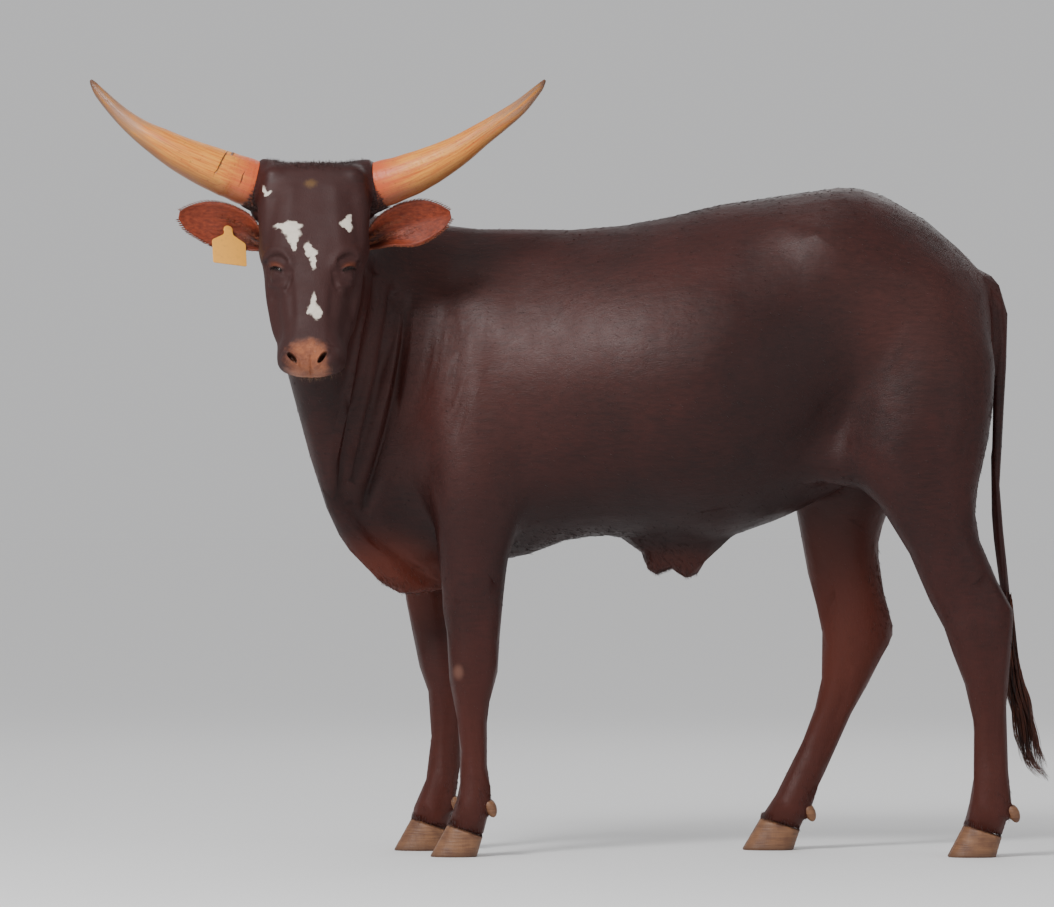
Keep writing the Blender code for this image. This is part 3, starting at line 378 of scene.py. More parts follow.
for i in range(BRISKET_FOLDS):
    x = -0.475 + 0.022 * i
    z = 0.700 - 0.020 * i
    stop = (x + 0.070 + chance.uniform(0, 0.02), z - 0.095 + 0.004 * i)
    both(((x, z), (x + 0.022, z - 0.045), stop), 0.0065, -0.0045 if i % 2 else -0.0075)
BRISKET_ROLL = ((-0.478, 0.664), (-0.446, 0.616), (-0.404, 0.578), (-0.352, 0.566), (-0.305, 0.560))
both(BRISKET_ROLL, 0.0150, 0.0070)
both([(x + 0.012, z + 0.034) for x, z in BRISKET_ROLL], 0.0100, -0.0060)
for i in range(7):
    top = (-0.250 + 0.013 * i, 1.120 - 0.020 * i)
    both((top, (top[0] - 0.014, top[1] - 0.090), (top[0] - 0.048, top[1] - 0.180)), 0.0045, -0.0014)
SHOULDER_EDGE = ((-0.100, 1.180), (-0.125, 1.050), (-0.150, 0.930), (-0.120, 0.830))
both(SHOULDER_EDGE, 0.020, -0.0030)
both([(x - 0.055, z) for x, z in SHOULDER_EDGE], 0.026, 0.0030)
both(((-0.080, 0.800), (-0.110, 0.730), (-0.135, 0.680)), 0.010, -0.0045)
both(((-0.270, 0.790), (-0.295, 0.700), (-0.285, 0.620)), 0.010, -0.0035)
for i in range(6):
    x = 0.020 + 0.068 * i
    both(((x - 0.010, 1.090), (x + 0.012, 0.960), (x + 0.008, 0.820)), 0.014, 0.0014)
    both(((x + 0.024, 1.080), (x + 0.046, 0.955), (x + 0.042, 0.830)), 0.014, -0.0014)
both(((0.430, 1.262), (0.505, 1.243), (0.570, 1.190)), 0.028, 0.0035)
both(((0.505, 1.230), (0.455, 1.130), (0.360, 1.020), (0.272, 0.934)), 0.014, 0.0030)
both(((0.590, 1.150), (0.690, 1.105), (0.795, 1.120)), 0.018, -0.0035)
both(((0.560, 1.060), (0.590, 0.950), (0.560, 0.850)), 0.024, -0.0040)
both(((0.800, 1.050), (0.835, 0.930), (0.830, 0.800), (0.800, 0.700)), 0.014, -0.0035)
both(((0.700, 1.040), (0.760, 0.900), (0.770, 0.760)), 0.022, 0.0025)
both(((0.590, 0.860), (0.560, 0.800), (0.500, 0.755)), 0.014, 0.0030)
FLANK_CREASES = 4
for i in range(FLANK_CREASES):
    x, z = 0.565 - 0.020 * i, 0.850 - 0.026 * i
    both(((x, z), (x - 0.035, z - 0.045), (x - 0.090, z - 0.060)), 0.0060, -0.0014)
BELLY_VEIN = ((0.380, 0.700), (0.300, 0.665), (0.200, 0.660), (0.080, 0.655), (-0.020, 0.650))
both(BELLY_VEIN, 0.0055, 0.0016)
for i in range(4):
    near_side(((0.520 + 0.008 * i, 0.565 - 0.018 * i), (0.545 + 0.006 * i, 0.555 - 0.018 * i)), 0.0035,
              -0.0012)
near_side(((-0.215, 0.610), (-0.200, 0.565), (-0.170, 0.540), (-0.140, 0.500)), 0.0045, 0.0018)


def leg_line(side, hind, line, outer):
    """A line down one face of a leg, as heights and shares of the leg's breadth behind its front edge."""
    laid = []
    for height, share in line:
        height += MIDDLE.z
        level = abs(skin_at[:, 2] - height) < 0.006
        own = level & (side * (skin_at[:, 1] - MIDDLE.y) > 0.03) & ((skin_at[:, 0] - MIDDLE.x > 0.2) == hind)
        front, rear = skin_at[own, 0].min(), skin_at[own, 0].max()
        start = Vector((front + share * (rear - front), MIDDLE.y + side * (1.0 if outer else 0.02), height))
        way = Vector((0, -side if outer else side, 0))
        laid.append(body_tree.ray_cast(start, way)[0] or start)
    return laid


FORE_LEG = (
    (((0.640, 0.40), (0.560, 0.45), (0.480, 0.50), (0.420, 0.52)), 0.0110, -0.0032),
    (((0.600, 0.72), (0.520, 0.74), (0.440, 0.76)), 0.0100, 0.0026),
    (((0.640, 0.16), (0.540, 0.18), (0.440, 0.20)), 0.0120, 0.0022),
    (((0.382, 0.12), (0.352, 0.16), (0.322, 0.16)), 0.0130, 0.0034),
    (((0.372, 0.48), (0.340, 0.46)), 0.0150, 0.0030),
    (((0.372, 0.90), (0.348, 0.92)), 0.0110, 0.0036),
    (((0.300, 0.50), (0.286, 0.50)), 0.0120, -0.0022),
    (((0.280, 0.60), (0.220, 0.62), (0.160, 0.62), (0.120, 0.60)), 0.0052, -0.0032),
    (((0.270, 0.84), (0.200, 0.84), (0.135, 0.82)), 0.0060, 0.0020),
    (((0.104, 0.55), (0.086, 0.55)), 0.0160, 0.0034),
    (((0.098, 0.90), (0.080, 0.90)), 0.0120, 0.0030),
    (((0.046, 0.45), (0.030, 0.45)), 0.0130, -0.0022),
)
HIND_LEG = (
    (((0.660, 0.34), (0.580, 0.30), (0.510, 0.26)), 0.0160, 0.0036),
    (((0.640, 0.62), (0.580, 0.68), (0.520, 0.72), (0.478, 0.72)), 0.0110, -0.0065),
    (((0.590, 0.92), (0.530, 0.92), (0.480, 0.92)), 0.0080, 0.0026),
    (((0.462, 0.92), (0.440, 0.93)), 0.0130, 0.0026),
    (((0.440, 0.46), (0.410, 0.42)), 0.0200, 0.0050),
    (((0.470, 0.20), (0.440, 0.16)), 0.0100, -0.0030),
    (((0.420, 0.12), (0.390, 0.14)), 0.0120, 0.0026),
    (((0.392, 0.74), (0.350, 0.70)), 0.0110, -0.0034),
    (((0.380, 0.40), (0.340, 0.34), (0.280, 0.30), (0.200, 0.30)), 0.0080, 0.0018),
    (((0.320, 0.62), (0.260, 0.62), (0.190, 0.62), (0.130, 0.60)), 0.0055, -0.0036),
    (((0.320, 0.86), (0.240, 0.85), (0.150, 0.83)), 0.0065, 0.0022),
    (((0.104, 0.52), (0.086, 0.52)), 0.0160, 0.0032),
    (((0.098, 0.90), (0.080, 0.90)), 0.0120, 0.0030),
    (((0.046, 0.45), (0.030, 0.45)), 0.0130, -0.0022),
)
for side in (-1, 1):
    for hind, strokes in ((False, FORE_LEG), (True, HIND_LEG)):
        for line, width, rise in strokes:
            stroke(leg_line(side, hind, line, True), width, rise)
            if line[0][0] < 0.48:
                stroke(leg_line(side, hind, line, False), width, rise)

face(((0.020, 0.030, 0.0), (0.014, 0.120, 0.0), (0.010, 0.200, 0.0)), 0.022, -0.0016)
face(((0.046, 0.226, -0.004), (0.057, 0.200, -0.010), (0.078, 0.188, -0.024), (0.102, 0.198, -0.046)),
     0.0095, 0.0026)
face(((0.054, 0.216, -0.010), (0.066, 0.205, -0.016), (0.084, 0.202, -0.028), (0.100, 0.210, -0.046)),
     0.0050, -0.0036)
face(((0.046, 0.244, -0.004), (0.052, 0.262, -0.010), (0.060, 0.276, -0.014)), 0.0050, -0.0026)
face(((0.062, 0.268, -0.016), (0.078, 0.266, -0.030), (0.092, 0.252, -0.050)), 0.0055, 0.0024)
face(((0.058, 0.284, -0.014), (0.074, 0.288, -0.030), (0.088, 0.280, -0.052)), 0.0080, -0.0016)
face(((0.052, 0.262, -0.010), (0.046, 0.290, -0.012), (0.045, 0.330, -0.014)), 0.0090, -0.0018)
face(((0.044, 0.060, -0.002), (0.048, 0.110, -0.003), (0.055, 0.155, -0.006), (0.058, 0.180, -0.010)),
     0.0130, 0.0018)
face(((0.078, 0.080, -0.012), (0.084, 0.120, -0.020), (0.088, 0.160, -0.030)), 0.0160, -0.0040)
face(((0.090, 0.020, -0.020), (0.094, 0.060, -0.026)), 0.0160, 0.0028)
face(((0.088, 0.268, -0.070), (0.082, 0.310, -0.080), (0.072, 0.350, -0.085)), 0.0120, 0.0012)
face(((0.100, 0.245, -0.110), (0.094, 0.290, -0.130), (0.078, 0.330, -0.140)), 0.0120, -0.0030)
face(((0.034, 0.290, -0.008), (0.033, 0.340, -0.010), (0.032, 0.385, -0.012)), 0.0090, 0.0008)
LIP_LINE = ((0.0, 0.446, -0.085), (0.030, 0.441, -0.086), (0.054, 0.419, -0.087), (0.066, 0.385, -0.092))
face(LIP_LINE, 0.0026, -0.0060)
face([(s, t + 0.001, n + 0.008) for s, t, n in LIP_LINE], 0.0045, 0.0016)
face([(s, t + 0.001, n - 0.008) for s, t, n in LIP_LINE], 0.0045, 0.0014)
face(((0.0, 0.430, -0.010), (0.0, 0.452, -0.040), (0.0, 0.458, -0.096)), 0.0022, -0.0022)
for i in range(3):
    spot = 0.016 + 0.010 * i
    face(((spot, 0.404 - 0.008 * i, -0.012), (spot + 0.012, 0.398, -0.016), (spot + 0.022, 0.402, -0.030)),
         0.0024, -0.0008)
place(skin.data, skin_at)

# Lids: a narrow slit between two rims, over the ball of the eye. Nostrils: slanted slits with a raised wing.
EYE_OUT = Vector((0.66, 0.0, 0.75))
EYE_ALONG = Vector((-0.75, 0.42, 0.66))
SLIT_HALF_LENGTH = 0.0170
SLIT_HALF_HEIGHT = 0.0009
SLIT_ARCH = 0.0042
LID_THICKNESS = 0.0030
SLIT_SINK = 0.0030
NOSTRIL_SEATS = ((-0.563, 0.984), (-0.501, 0.984))
NOSTRIL_HALF = (0.0042, 0.0120)
NOSTRIL_DEPTH = 0.016
NOSTRIL_LEAN = 42
skin_out = normals(skin.data)
EYE_TURNS = {}


def brow_way(side):
    """1 where the second axis of an eye's turn points up to the brow, and -1 where it points down."""
    return 1 if (EYE_TURNS[side] @ Vector((0, 1, 0))).z > 0 else -1


def nostril_place(side):
    x, z = NOSTRIL_SEATS[side > 0]
    return body_tree.ray_cast(on_body(x, -1.5, z), Vector((0, 1, 0)))[0]


for side in (-1, 1):
    out = (HEAD_TURN @ Vector((side * EYE_OUT.x, EYE_OUT.y, EYE_OUT.z))).normalized()
    along = HEAD_TURN @ Vector((side * EYE_ALONG.x, EYE_ALONG.y, EYE_ALONG.z))
    along = (along - along.dot(out) * out).normalized()
    EYE_TURNS[side] = Matrix((along, out.cross(along), out)).transposed()
    eye = eye_place(side)
    local = (skin_at - np.array(eye)) @ np.array(EYE_TURNS[side])
    reach = length_of(local)
    near = (reach < EYE_REACH) & (local[:, 2] > 0)
    brow = brow_way(side)
    a, r = local[near, 0], reach[near]
    inside = np.clip(1 - (a / SLIT_HALF_LENGTH) ** 2, 0, 1)
    above = brow * local[near, 1] - SLIT_ARCH * (inside - 0.5)
    past = np.abs(above) - SLIT_HALF_HEIGHT * np.sqrt(inside)
    beyond = np.hypot(np.maximum(past, 0), np.maximum(np.abs(a) - SLIT_HALF_LENGTH, 0))
    open_share = (1 - fade(past, -0.0008, 0.0010)) * (np.abs(a) < SLIT_HALF_LENGTH)
    lids = np.exp(-((beyond / 0.0095) ** 2))
    rim = np.exp(-(((past - 0.0022) / 0.0016) ** 2)) * (inside > 0)
    crease = 0.9 * np.exp(-(((above - 0.0098) / 0.0018) ** 2))
    crease = crease + 0.5 * np.exp(-(((above + 0.0090) / 0.0016) ** 2))
    wanted = r + (np.minimum(r, EYE_RADIUS + LID_THICKNESS) - r) * lids
    wanted = wanted + 0.0010 * rim - 0.0013 * crease * np.sqrt(lids)
    wanted = wanted * (1 - open_share) + (EYE_RADIUS - SLIT_SINK) * open_share
    skin_at[near] = np.array(eye) + (skin_at[near] - np.array(eye)) * (wanted / r)[:, None]
    seat = np.array(nostril_place(side))
    lean = np.array(HEAD_TURN @ Matrix.Rotation(math.radians(side * NOSTRIL_LEAN), 3, "Z"))
    local = (skin_at - seat) @ lean
    reach = np.sqrt((local[:, 0] / NOSTRIL_HALF[0]) ** 2 + (local[:, 1] / NOSTRIL_HALF[1]) ** 2)
    near = (reach < 3) & (np.abs(local[:, 2]) < 0.03)
    sink = NOSTRIL_DEPTH * (1 - fade(reach[near], 0.45, 1.15))
    wing = 0.0026 * np.exp(-(((reach[near] - 1.45) / 0.4) ** 2))
    skin_at[near] += lean[:, 2] * (-sink)[:, None] + skin_out[near] * wing[:, None]
place(skin.data, skin_at)
skin_out = normals(skin.data)
place(skin.data, skin_at - COAT_DEPTH * skin_out)
weigh(skin, "keep", np.clip(1 - 0.86 * on_face(skin_at) - 0.1 * near_eyes(skin_at), 0.03, 1))
less = skin.modifiers.new("less", "DECIMATE")
less.ratio = SKIN_TRIANGLES / sum(len(p.vertices) - 2 for p in skin.data.polygons)
less.vertex_group = "keep"
less.vertex_group_factor = 1.0
settle(skin)
skin.vertex_groups.clear()
skin.data.shade_smooth()


# The coat is short, dense and glossy, dark seal brown, redder on the brisket and the lower legs, with a tan
# muzzle, rusty lids and a few small white marks on the face, and painted highlights and painted shade on it.
# The hairs lie towards the tail and down the legs.
def tone(red, green, blue):
    """A colour as read off a screen, for a shader."""
    return tuple((c / 255 / 12.92 if c < 10.4 else ((c / 255 + 0.055) / 1.055) ** 2.4)
                 for c in (red, green, blue)) + (1,)


class Wire:
    """One output in a material's nodes, on which sums are written as plain expressions."""

    def __init__(self, tree, socket=None):
        self.tree = tree
        self.socket = socket

    def add(self, kind, settings=None, sockets=None, output=0):
        """Adds any node: its settings first, then the values or links of its sockets."""
        node = self.tree.nodes.new("ShaderNode" + kind)
        for name, value in (settings or {}).items():
            if name == "stops":
                ramp = node.color_ramp.elements
                while len(ramp) < len(value):
                    ramp.new(0.5)
                for stop, (spot, colour) in zip(ramp, value):
                    stop.position = spot
                    stop.color = colour
            else:
                setattr(node, name, value)
        for name, value in (sockets or {}).items():
            if isinstance(value, Wire):
                self.tree.links.new(value.socket, node.inputs[name])
            else:
                node.inputs[name].default_value = value
        return Wire(self.tree, node.outputs[output])

    def sum_of(self, operation, *values):
        return self.add("Math", {"operation": operation}, dict(enumerate(values)))

    def __add__(self, other):
        return self.sum_of("ADD", self, other)

    def __sub__(self, other):
        return self.sum_of("SUBTRACT", self, other)

    def __rsub__(self, other):
        return self.sum_of("SUBTRACT", other, self)

    def __mul__(self, other):
        return self.sum_of("MULTIPLY", self, other)

    def over(self, low, high):
        """Goes smoothly from 0 at low to 1 at high."""
        return self.add("MapRange", {"interpolation_type": "SMOOTHSTEP"},
                        {"Value": self, "From Min": low, "From Max": high})

    def larger(self, other):
        return self.sum_of("MAXIMUM", self, other)

    def blend(self, first, second):
        """The first colour where this is 0 and the second where it is 1."""
        return self.add("Mix", {"data_type": "RGBA"}, {0: self, 6: first, 7: second}, 2)

    def noise(self, scale, detail=2.0, rough=0.5):
        return self.add("TexNoise", {}, {"Vector": self, "Scale": scale, "Detail": detail,
                                         "Roughness": rough})

    def grain(self, scale, detail=2.0, rough=0.5, turn=(0, 0, 0)):
        """Noise drawn out along the axes."""
        drawn = self.add("Mapping", {}, {"Vector": self, "Rotation": turn, "Scale": scale})
        return drawn.noise(1.0, detail, rough)

    def ragged(self, share, scale):
        """The same places with a share of a noise colour mixed in, for patches with a torn edge."""
        shake = self.add("TexNoise", {}, {"Vector": self, "Scale": scale}, 1)
        return self.add("Mix", {"data_type": "VECTOR"}, {0: share, 4: self, 5: shake}, 1)

    def height(self):
        return self.add("SeparateXYZ", {}, {0: self}, 2)

    def noted(self, name, output=2):
        """What a piece's points have noted under a name."""
        return self.add("Attribute", {"attribute_name": name}, {}, output)

    def patch(self, centre, radii, turn=(0, 0, 0), soft=0.25):
        """1 inside an ellipsoid about a place and 0 outside it."""
        near = self.add("Mapping", {"vector_type": "TEXTURE"},
                        {"Vector": self, "Location": centre, "Rotation": turn, "Scale": radii})
        reach = near.add("VectorMath", {"operation": "LENGTH"}, {0: near}, 1)
        return 1 - reach.over(1 - soft, 1 + soft)


FACE_TURN = Matrix((to_left, -down_face, down_face.cross(to_left))).transposed()
FACE_EULER = tuple(FACE_TURN.to_euler())
SEAL_DARK, SEAL, SEAL_RED = tone(28, 10, 9), tone(58, 23, 19), tone(100, 41, 25)
FACE_BROWN, LID_RUST, MUZZLE_TAN = tone(58, 32, 30), tone(110, 54, 32), tone(172, 106, 74)
SLIT_SHADE, MARK_WHITE, CALLUS = tone(34, 18, 16), tone(214, 204, 190), tone(122, 84, 70)
MARKS = (
    (-0.0990, 0.0560, -0.040, 0.0050, 0.0130, 24), (-0.0935, 0.0640, -0.036, 0.0085, 0.0048, 20),
    (-0.0600, 0.1420, -0.004, 0.0210, 0.0065, -14), (-0.0410, 0.1430, -0.004, 0.0190, 0.0100, 0),
    (-0.0430, 0.1560, -0.004, 0.0180, 0.0125, -20), (-0.0385, 0.1700, -0.004, 0.0110, 0.0125, -10),
    (-0.0370, 0.1830, -0.004, 0.0058, 0.0140, 0),
    (-0.0095, 0.1900, -0.004, 0.0085, 0.0110, 0), (-0.0030, 0.2010, -0.004, 0.0110, 0.0100, 30),
    (0.0022, 0.2190, -0.004, 0.0060, 0.0180, 8),
    (0.0040, 0.3080, -0.004, 0.0056, 0.0190, -4), (0.0050, 0.3240, -0.004, 0.0120, 0.0130, -30),
    (0.0130, 0.3350, -0.004, 0.0075, 0.0120, -30), (-0.0040, 0.3290, -0.004, 0.0080, 0.0048, 20),
    (0.0715, 0.1270, -0.004, 0.0052, 0.0130, -14), (0.0680, 0.1390, -0.004, 0.0115, 0.0068, -14),
    (0.0735, 0.1440, -0.004, 0.0060, 0.0075, 0), (0.0695, 0.1330, -0.004, 0.0080, 0.0080, 30),
)
# Painted highlights, where the coat is made lighter as if light shone on it, on the shoulder, the ribs, the
# hip and the rump, and painted shade, where it is made darkest, at the flank, the belly and under the neck:
# centre, radii and share. The painted highlights are the same on both sides.
PAINTED_SHEEN_BROWN = tone(92, 52, 46)
PAINTED_SHEEN_PATCHES = (
    ((-0.230, 0.20, 0.960), (0.170, 0.22, 0.240), 0.34), ((0.080, 0.25, 1.040), (0.260, 0.22, 0.160), 0.28),
    ((0.480, 0.20, 1.200), (0.100, 0.22, 0.110), 0.28), ((0.720, 0.20, 1.060), (0.170, 0.22, 0.150), 0.34),
)
SHADED = (
    ((0.440, 0.0, 0.960), (0.130, 0.40, 0.200), 0.75), ((0.150, 0.0, 0.640), (0.420, 0.40, 0.100), 0.75),
    ((-0.420, 0.0, 0.860), (0.080, 0.12, 0.260), 0.60),
)
BUFF_SPOT = (-0.0059, 0.0457)
RAGGED = 0.014


def start_material(name):
    made = bpy.data.materials.new(name)
    made.use_nodes = True
    shader = made.node_tree.nodes["Principled BSDF"]
    at = Wire(made.node_tree).add("TexCoord", output=3)
    return made, shader, at


def finish_material(shader, colour, rough, height=None, depth=0.0005, **steady):
    """Feeds a shader's colour, roughness and bump, and sets the sockets that are the same all over."""
    links = shader.id_data.links
    links.new(colour.socket, shader.inputs["Base Color"])
    links.new(rough.socket, shader.inputs["Roughness"])
    if height:
        bump = height.add("Bump", {}, {"Strength": 1.0, "Distance": depth, "Height": height})
        links.new(bump.socket, shader.inputs["Normal"])
    for name, value in steady.items():
        shader.inputs[name.replace("_", " ").title().replace("Ior", "IOR")].default_value = value


def drifted(spot, share):
    """Where a place ends up when that share of a noise colour, about 0.5 all over, is mixed into it."""
    return spot * (1 - share) + Vector((0.5, 0.5, 0.5)) * share


def coat_colour(at):
    """The coat's colour at any place on the body, the same for the hide and for every tuft on it."""
    height = at.height() - MIDDLE.z
    clouds = at.noise(4.5, 4.0, 0.55)
    streaks = at.grain((30, 160, 160), 3.0, 0.6)
    colour = (clouds * 0.75 + streaks * 0.35).over(0.30, 0.80).blend(SEAL_DARK, SEAL)
    low = 1 - (height + clouds * 0.25).over(0.20, 0.70)
    colour = (low * 0.30).blend(colour, SEAL_RED)
    # Painted highlights: soft lighter patches where the light would shine on the coat, on both sides.
    for side in (-1, 1):
        for (x, y, z), radii, share in PAINTED_SHEEN_PATCHES:
            painted_sheen = at.patch(on_body(x, side * y, z), radii, soft=0.9) * (streaks * 0.8 + 0.3) * share
            colour = painted_sheen.blend(colour, PAINTED_SHEEN_BROWN)
    # Painted shade: the flank, the belly and the underside of the neck are darkened.
    for spot, radii, share in SHADED:
        colour = (at.patch(on_body(*spot), radii, soft=0.9) * share).blend(colour, SEAL_DARK)
    brisket = at.patch(on_body(-0.395, 0, 0.500), (0.150, 0.160, 0.110), soft=0.5)
    sheath = at.patch(on_body(0.220, 0, 0.530), (0.110, 0.070, 0.060), soft=0.4)
    # Painted highlight: the far hind leg is reddened where a highlight lies on it; the brisket and the
    # sheath are redder in their own coat.
    far_leg_highlight = at.patch(on_body(0.56, 0.14, 0.45), (0.14, 0.13, 0.22), soft=0.6)
    colour = (brisket * 0.70 + far_leg_highlight * 0.45 + sheath * 0.20).blend(colour, SEAL_RED)
    head = at.patch(on_head(0, 0.230, -0.060), (0.135, 0.260, 0.160), FACE_EULER, 0.15)
    colour = (head * 0.7).blend(colour, FACE_BROWN)
    knee = at.patch(on_body(-0.228, -0.160, 0.334), (0.010, 0.020, 0.014), soft=0.6)
    colour = (knee * 0.55).blend(colour, CALLUS)
    for side in (-1, 1):
        eye = eye_place(side)
        brow = brow_way(side)
        spin = tuple(EYE_TURNS[side].to_euler())
        lids = at.patch(eye + EYE_TURNS[side] @ Vector((-0.003, brow * 0.0060, 0.018)),
                        (0.016, 0.0070, 0.014), spin, 0.7)
        colour = (lids * 0.60).blend(colour, LID_RUST)
        # Painted shade: the closed slit of each eye is darkened.
        slit = at.patch(eye + EYE_TURNS[side] @ Vector((0, brow * 0.0010, 0.016)), (0.0185, 0.0050, 0.012),
                        spin, 0.35)
        colour = (slit * 0.9).blend(colour, SLIT_SHADE)
    ragged = at.ragged(RAGGED, 90.0)
    for s, t, n, across, down, lean in MARKS:
        spin = FACE_TURN @ Matrix.Rotation(math.radians(lean), 3, "Z")
        mark = ragged.patch(drifted(on_head(s, t, n), RAGGED), (across, down, 0.045),
                            tuple(spin.to_euler()), 0.22)
        colour = (mark * 0.92).blend(colour, MARK_WHITE)
    buff = ragged.patch(drifted(on_head(*BUFF_SPOT, -0.004), RAGGED), (0.012, 0.009, 0.030), FACE_EULER, 0.5)
    colour = (buff * 0.16).blend(colour, tone(176, 136, 60))
    muzzle = ragged.patch(drifted(on_head(-0.006, 0.426, -0.046), RAGGED), (0.045, 0.042, 0.046),
                          FACE_EULER, 0.25)
    mottle = at.noise(60.0, 3.0, 0.6).over(0.35, 0.65)
    pad = (mottle * 0.6).blend(MUZZLE_TAN, tone(128, 78, 62))
    colour = (muzzle * 0.9).blend(colour, pad)
    for side in (-1, 1):
        seat = nostril_place(side)
        lean = FACE_TURN @ Matrix.Rotation(math.radians(-side * NOSTRIL_LEAN), 3, "Z")
        # Painted shade: the inside of each nostril is darkened.
        inside = at.patch(seat - HEAD_TURN.col[2] * 0.006, (0.0056, 0.0150, 0.014), tuple(lean.to_euler()),
                          0.3)
        colour = (inside * 0.95).blend(colour, SLIT_SHADE)
    return colour, muzzle, head


made, shader, at = start_material("hide_coat")
colour, muzzle, head = coat_colour(at)
level = at.height()
on_leg = 1 - level.over(0.55, 0.75)
along_body = at.grain((60, 620, 620), 2.0, 0.6)
along_leg = at.grain((560, 560, 60), 2.0, 0.6)
hairs = on_leg.larger(head) * along_leg + (1 - on_leg.larger(head)) * along_body
ripples = at.grain((22, 40, 26), 3.0, 0.55)
pad_grain = at.add("TexVoronoi", {"feature": "DISTANCE_TO_EDGE"}, {"Vector": at, "Scale": 420.0})
bumps = hairs * 0.55 * (1 - muzzle) + ripples * 1.6 + pad_grain * muzzle * 3.0
rough = (ripples * 0.20 + hairs * 0.12 + head * 0.16 + 0.30) * (1 - muzzle * 0.40)
finish_material(shader, colour, rough, bumps, 0.0009, specular_ior_level=0.26)
skin.data.materials.clear()
skin.data.materials.append(made)


# The ears are leaf-shaped cups of gristle and skin, open forwards, rust brown and thinly haired inside with
# a few long ridges, and covered by the coat behind. They grow out of the side of the skull below the horns.
EARS = {
    "ear_right": (-1, (
        ((-0.612, -0.290, 1.213), 0.012, 0.012, 0.016), ((-0.640, -0.285, 1.220), 0.024, 0.020, 0.024),
        ((-0.672, -0.280, 1.236), 0.042, 0.036, 0.024), ((-0.710, -0.278, 1.250), 0.047, 0.044, 0.018),
        ((-0.748, -0.280, 1.262), 0.041, 0.038, 0.014), ((-0.780, -0.284, 1.270), 0.024, 0.026, 0.008),
        ((-0.799, -0.288, 1.274), 0.007, 0.007, 0.003),
    )),
    "ear_left": (1, (
        ((-0.430, -0.290, 1.215), 0.012, 0.012, 0.018), ((-0.402, -0.285, 1.222), 0.024, 0.018, 0.026),
        ((-0.370, -0.280, 1.238), 0.040, 0.030, 0.030), ((-0.332, -0.278, 1.252), 0.047, 0.044, 0.026),
        ((-0.294, -0.280, 1.264), 0.042, 0.040, 0.018), ((-0.262, -0.284, 1.271), 0.025, 0.026, 0.009),
        ((-0.243, -0.288, 1.275), 0.007, 0.007, 0.003),
    )),
}
EAR_THICKNESS = 0.0050
EAR_RUST, EAR_SHADE, EAR_PINK = tone(98, 34, 15), tone(34, 12, 9), tone(140, 58, 30)
EAR_SHADE_SPOTS = ((-0.628, -0.262, 1.222), (-0.414, -0.262, 1.222))


def loft(rings):
    """A closed skin drawn ring by ring through rings of equal count."""
    shape = bmesh.new()
    loop = bmesh.ops.create_circle(shape, segments=len(rings[0]), radius=1)["verts"]
    for vert, spot in zip(loop, rings[0]):
        vert.co = spot
    shape.faces.new(loop)
    for ring in rings[1:]:
        edges = [shape.edges.get((a, b)) for a, b in zip(loop, loop[1:] + loop[:1])]
        grown = bmesh.ops.extrude_edge_only(shape, edges=edges)["geom"]
        fresh = {v for v in grown if isinstance(v, bmesh.types.BMVert)}
        loop = [next(e.other_vert(v) for e in v.link_edges if e.other_vert(v) in fresh) for v in loop]
        for vert, spot in zip(loop, ring):
            vert.co = spot
    shape.faces.new(loop)
    bmesh.ops.recalc_face_normals(shape, faces=shape.faces)
    return shape


def note(thing, name, values, kind="FLOAT"):
    """Writes a value or a vector for each point of a piece, for its material to read."""
    layer = thing.data.attributes.new(name, kind, "POINT")
    layer.data.foreach_set("value" if kind == "FLOAT" else "vector", np.asarray(values, float).ravel())


EAR_ACROSS = 13
ear_rims = {}
for name, (side, stations) in EARS.items():
    centres = smooth_path([spot for spot, *_ in stations], 6)
    sizes = smooth_path([rest for spot, *rest in stations], 6)
    back = Vector((0, 1, 0))
    rings, inner = [], []
    ear_rims[name] = []
    for i, (centre, (upper, lower, depth)) in enumerate(zip(centres, sizes)):
        ahead = Vector(centres[min(i + 1, len(centres) - 1)] - centres[max(i - 1, 0)]).normalized()
        up = back.cross(ahead).normalized() * (-side)
        share = i / (len(centres) - 1)
        front, rear = [], []
        for v in np.linspace(-1, 1, EAR_ACROSS):
            reach = float(upper if v > 0 else lower)
            ripple = 0.0011 * math.cos(9.0 * v) * math.sin(math.pi * share) * (1 - v * v)
            wave = 0.0012 * math.sin(17 * share + 2 * v) * abs(v) ** 3
            hollow = float(depth * (1 - v * v) + ripple + wave)
            spot = MIDDLE + Vector(centre) + up * float(v * reach) + back * hollow
            half = EAR_THICKNESS / 2 * (1 - abs(v) ** 5) + 0.0006
            front.append(spot - back * half)
            rear.append(spot + back * (half + 0.0010))
        ear_rims[name].append((front[0], front[-1], front[EAR_ACROSS // 2], ahead, up))
        rings.append(front + rear[::-1])
        inner += [1.0] * EAR_ACROSS + [0.0] * EAR_ACROSS
    ear = piece(name + "_cup", loft(rings))
    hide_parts(name)
    note(ear, "inner", inner)
made, shader, at = start_material("ear_skin_and_hair")
coat, _, _ = coat_colour(at)
inner = at.noted("inner")
veins = at.grain((70, 200, 200), 4.0, 0.6)
cup = veins.over(0.25, 0.75).blend(EAR_RUST, EAR_PINK)
# Painted shade: the cup is darkened deep inside, near the root of each ear.
right_shade, left_shade = (at.patch(on_body(*spot), (0.040, 0.030, 0.026), soft=0.6) for spot in EAR_SHADE_SPOTS)
cup_shade = right_shade.larger(left_shade)
cup = (cup_shade * 0.85).blend(cup, EAR_SHADE)
colour = inner.over(0.35, 0.95).blend(coat, cup)
grain = at.grain((90, 700, 700), 2.0, 0.6)
finish_material(shader, colour, grain * 0.2 + 0.42, grain + veins * 0.6, 0.0008, specular_ior_level=0.4,
                subsurface_weight=0.08, subsurface_scale=0.004)
for name in EARS:
    bpy.data.objects[name + "_cup"].data.materials.append(made)


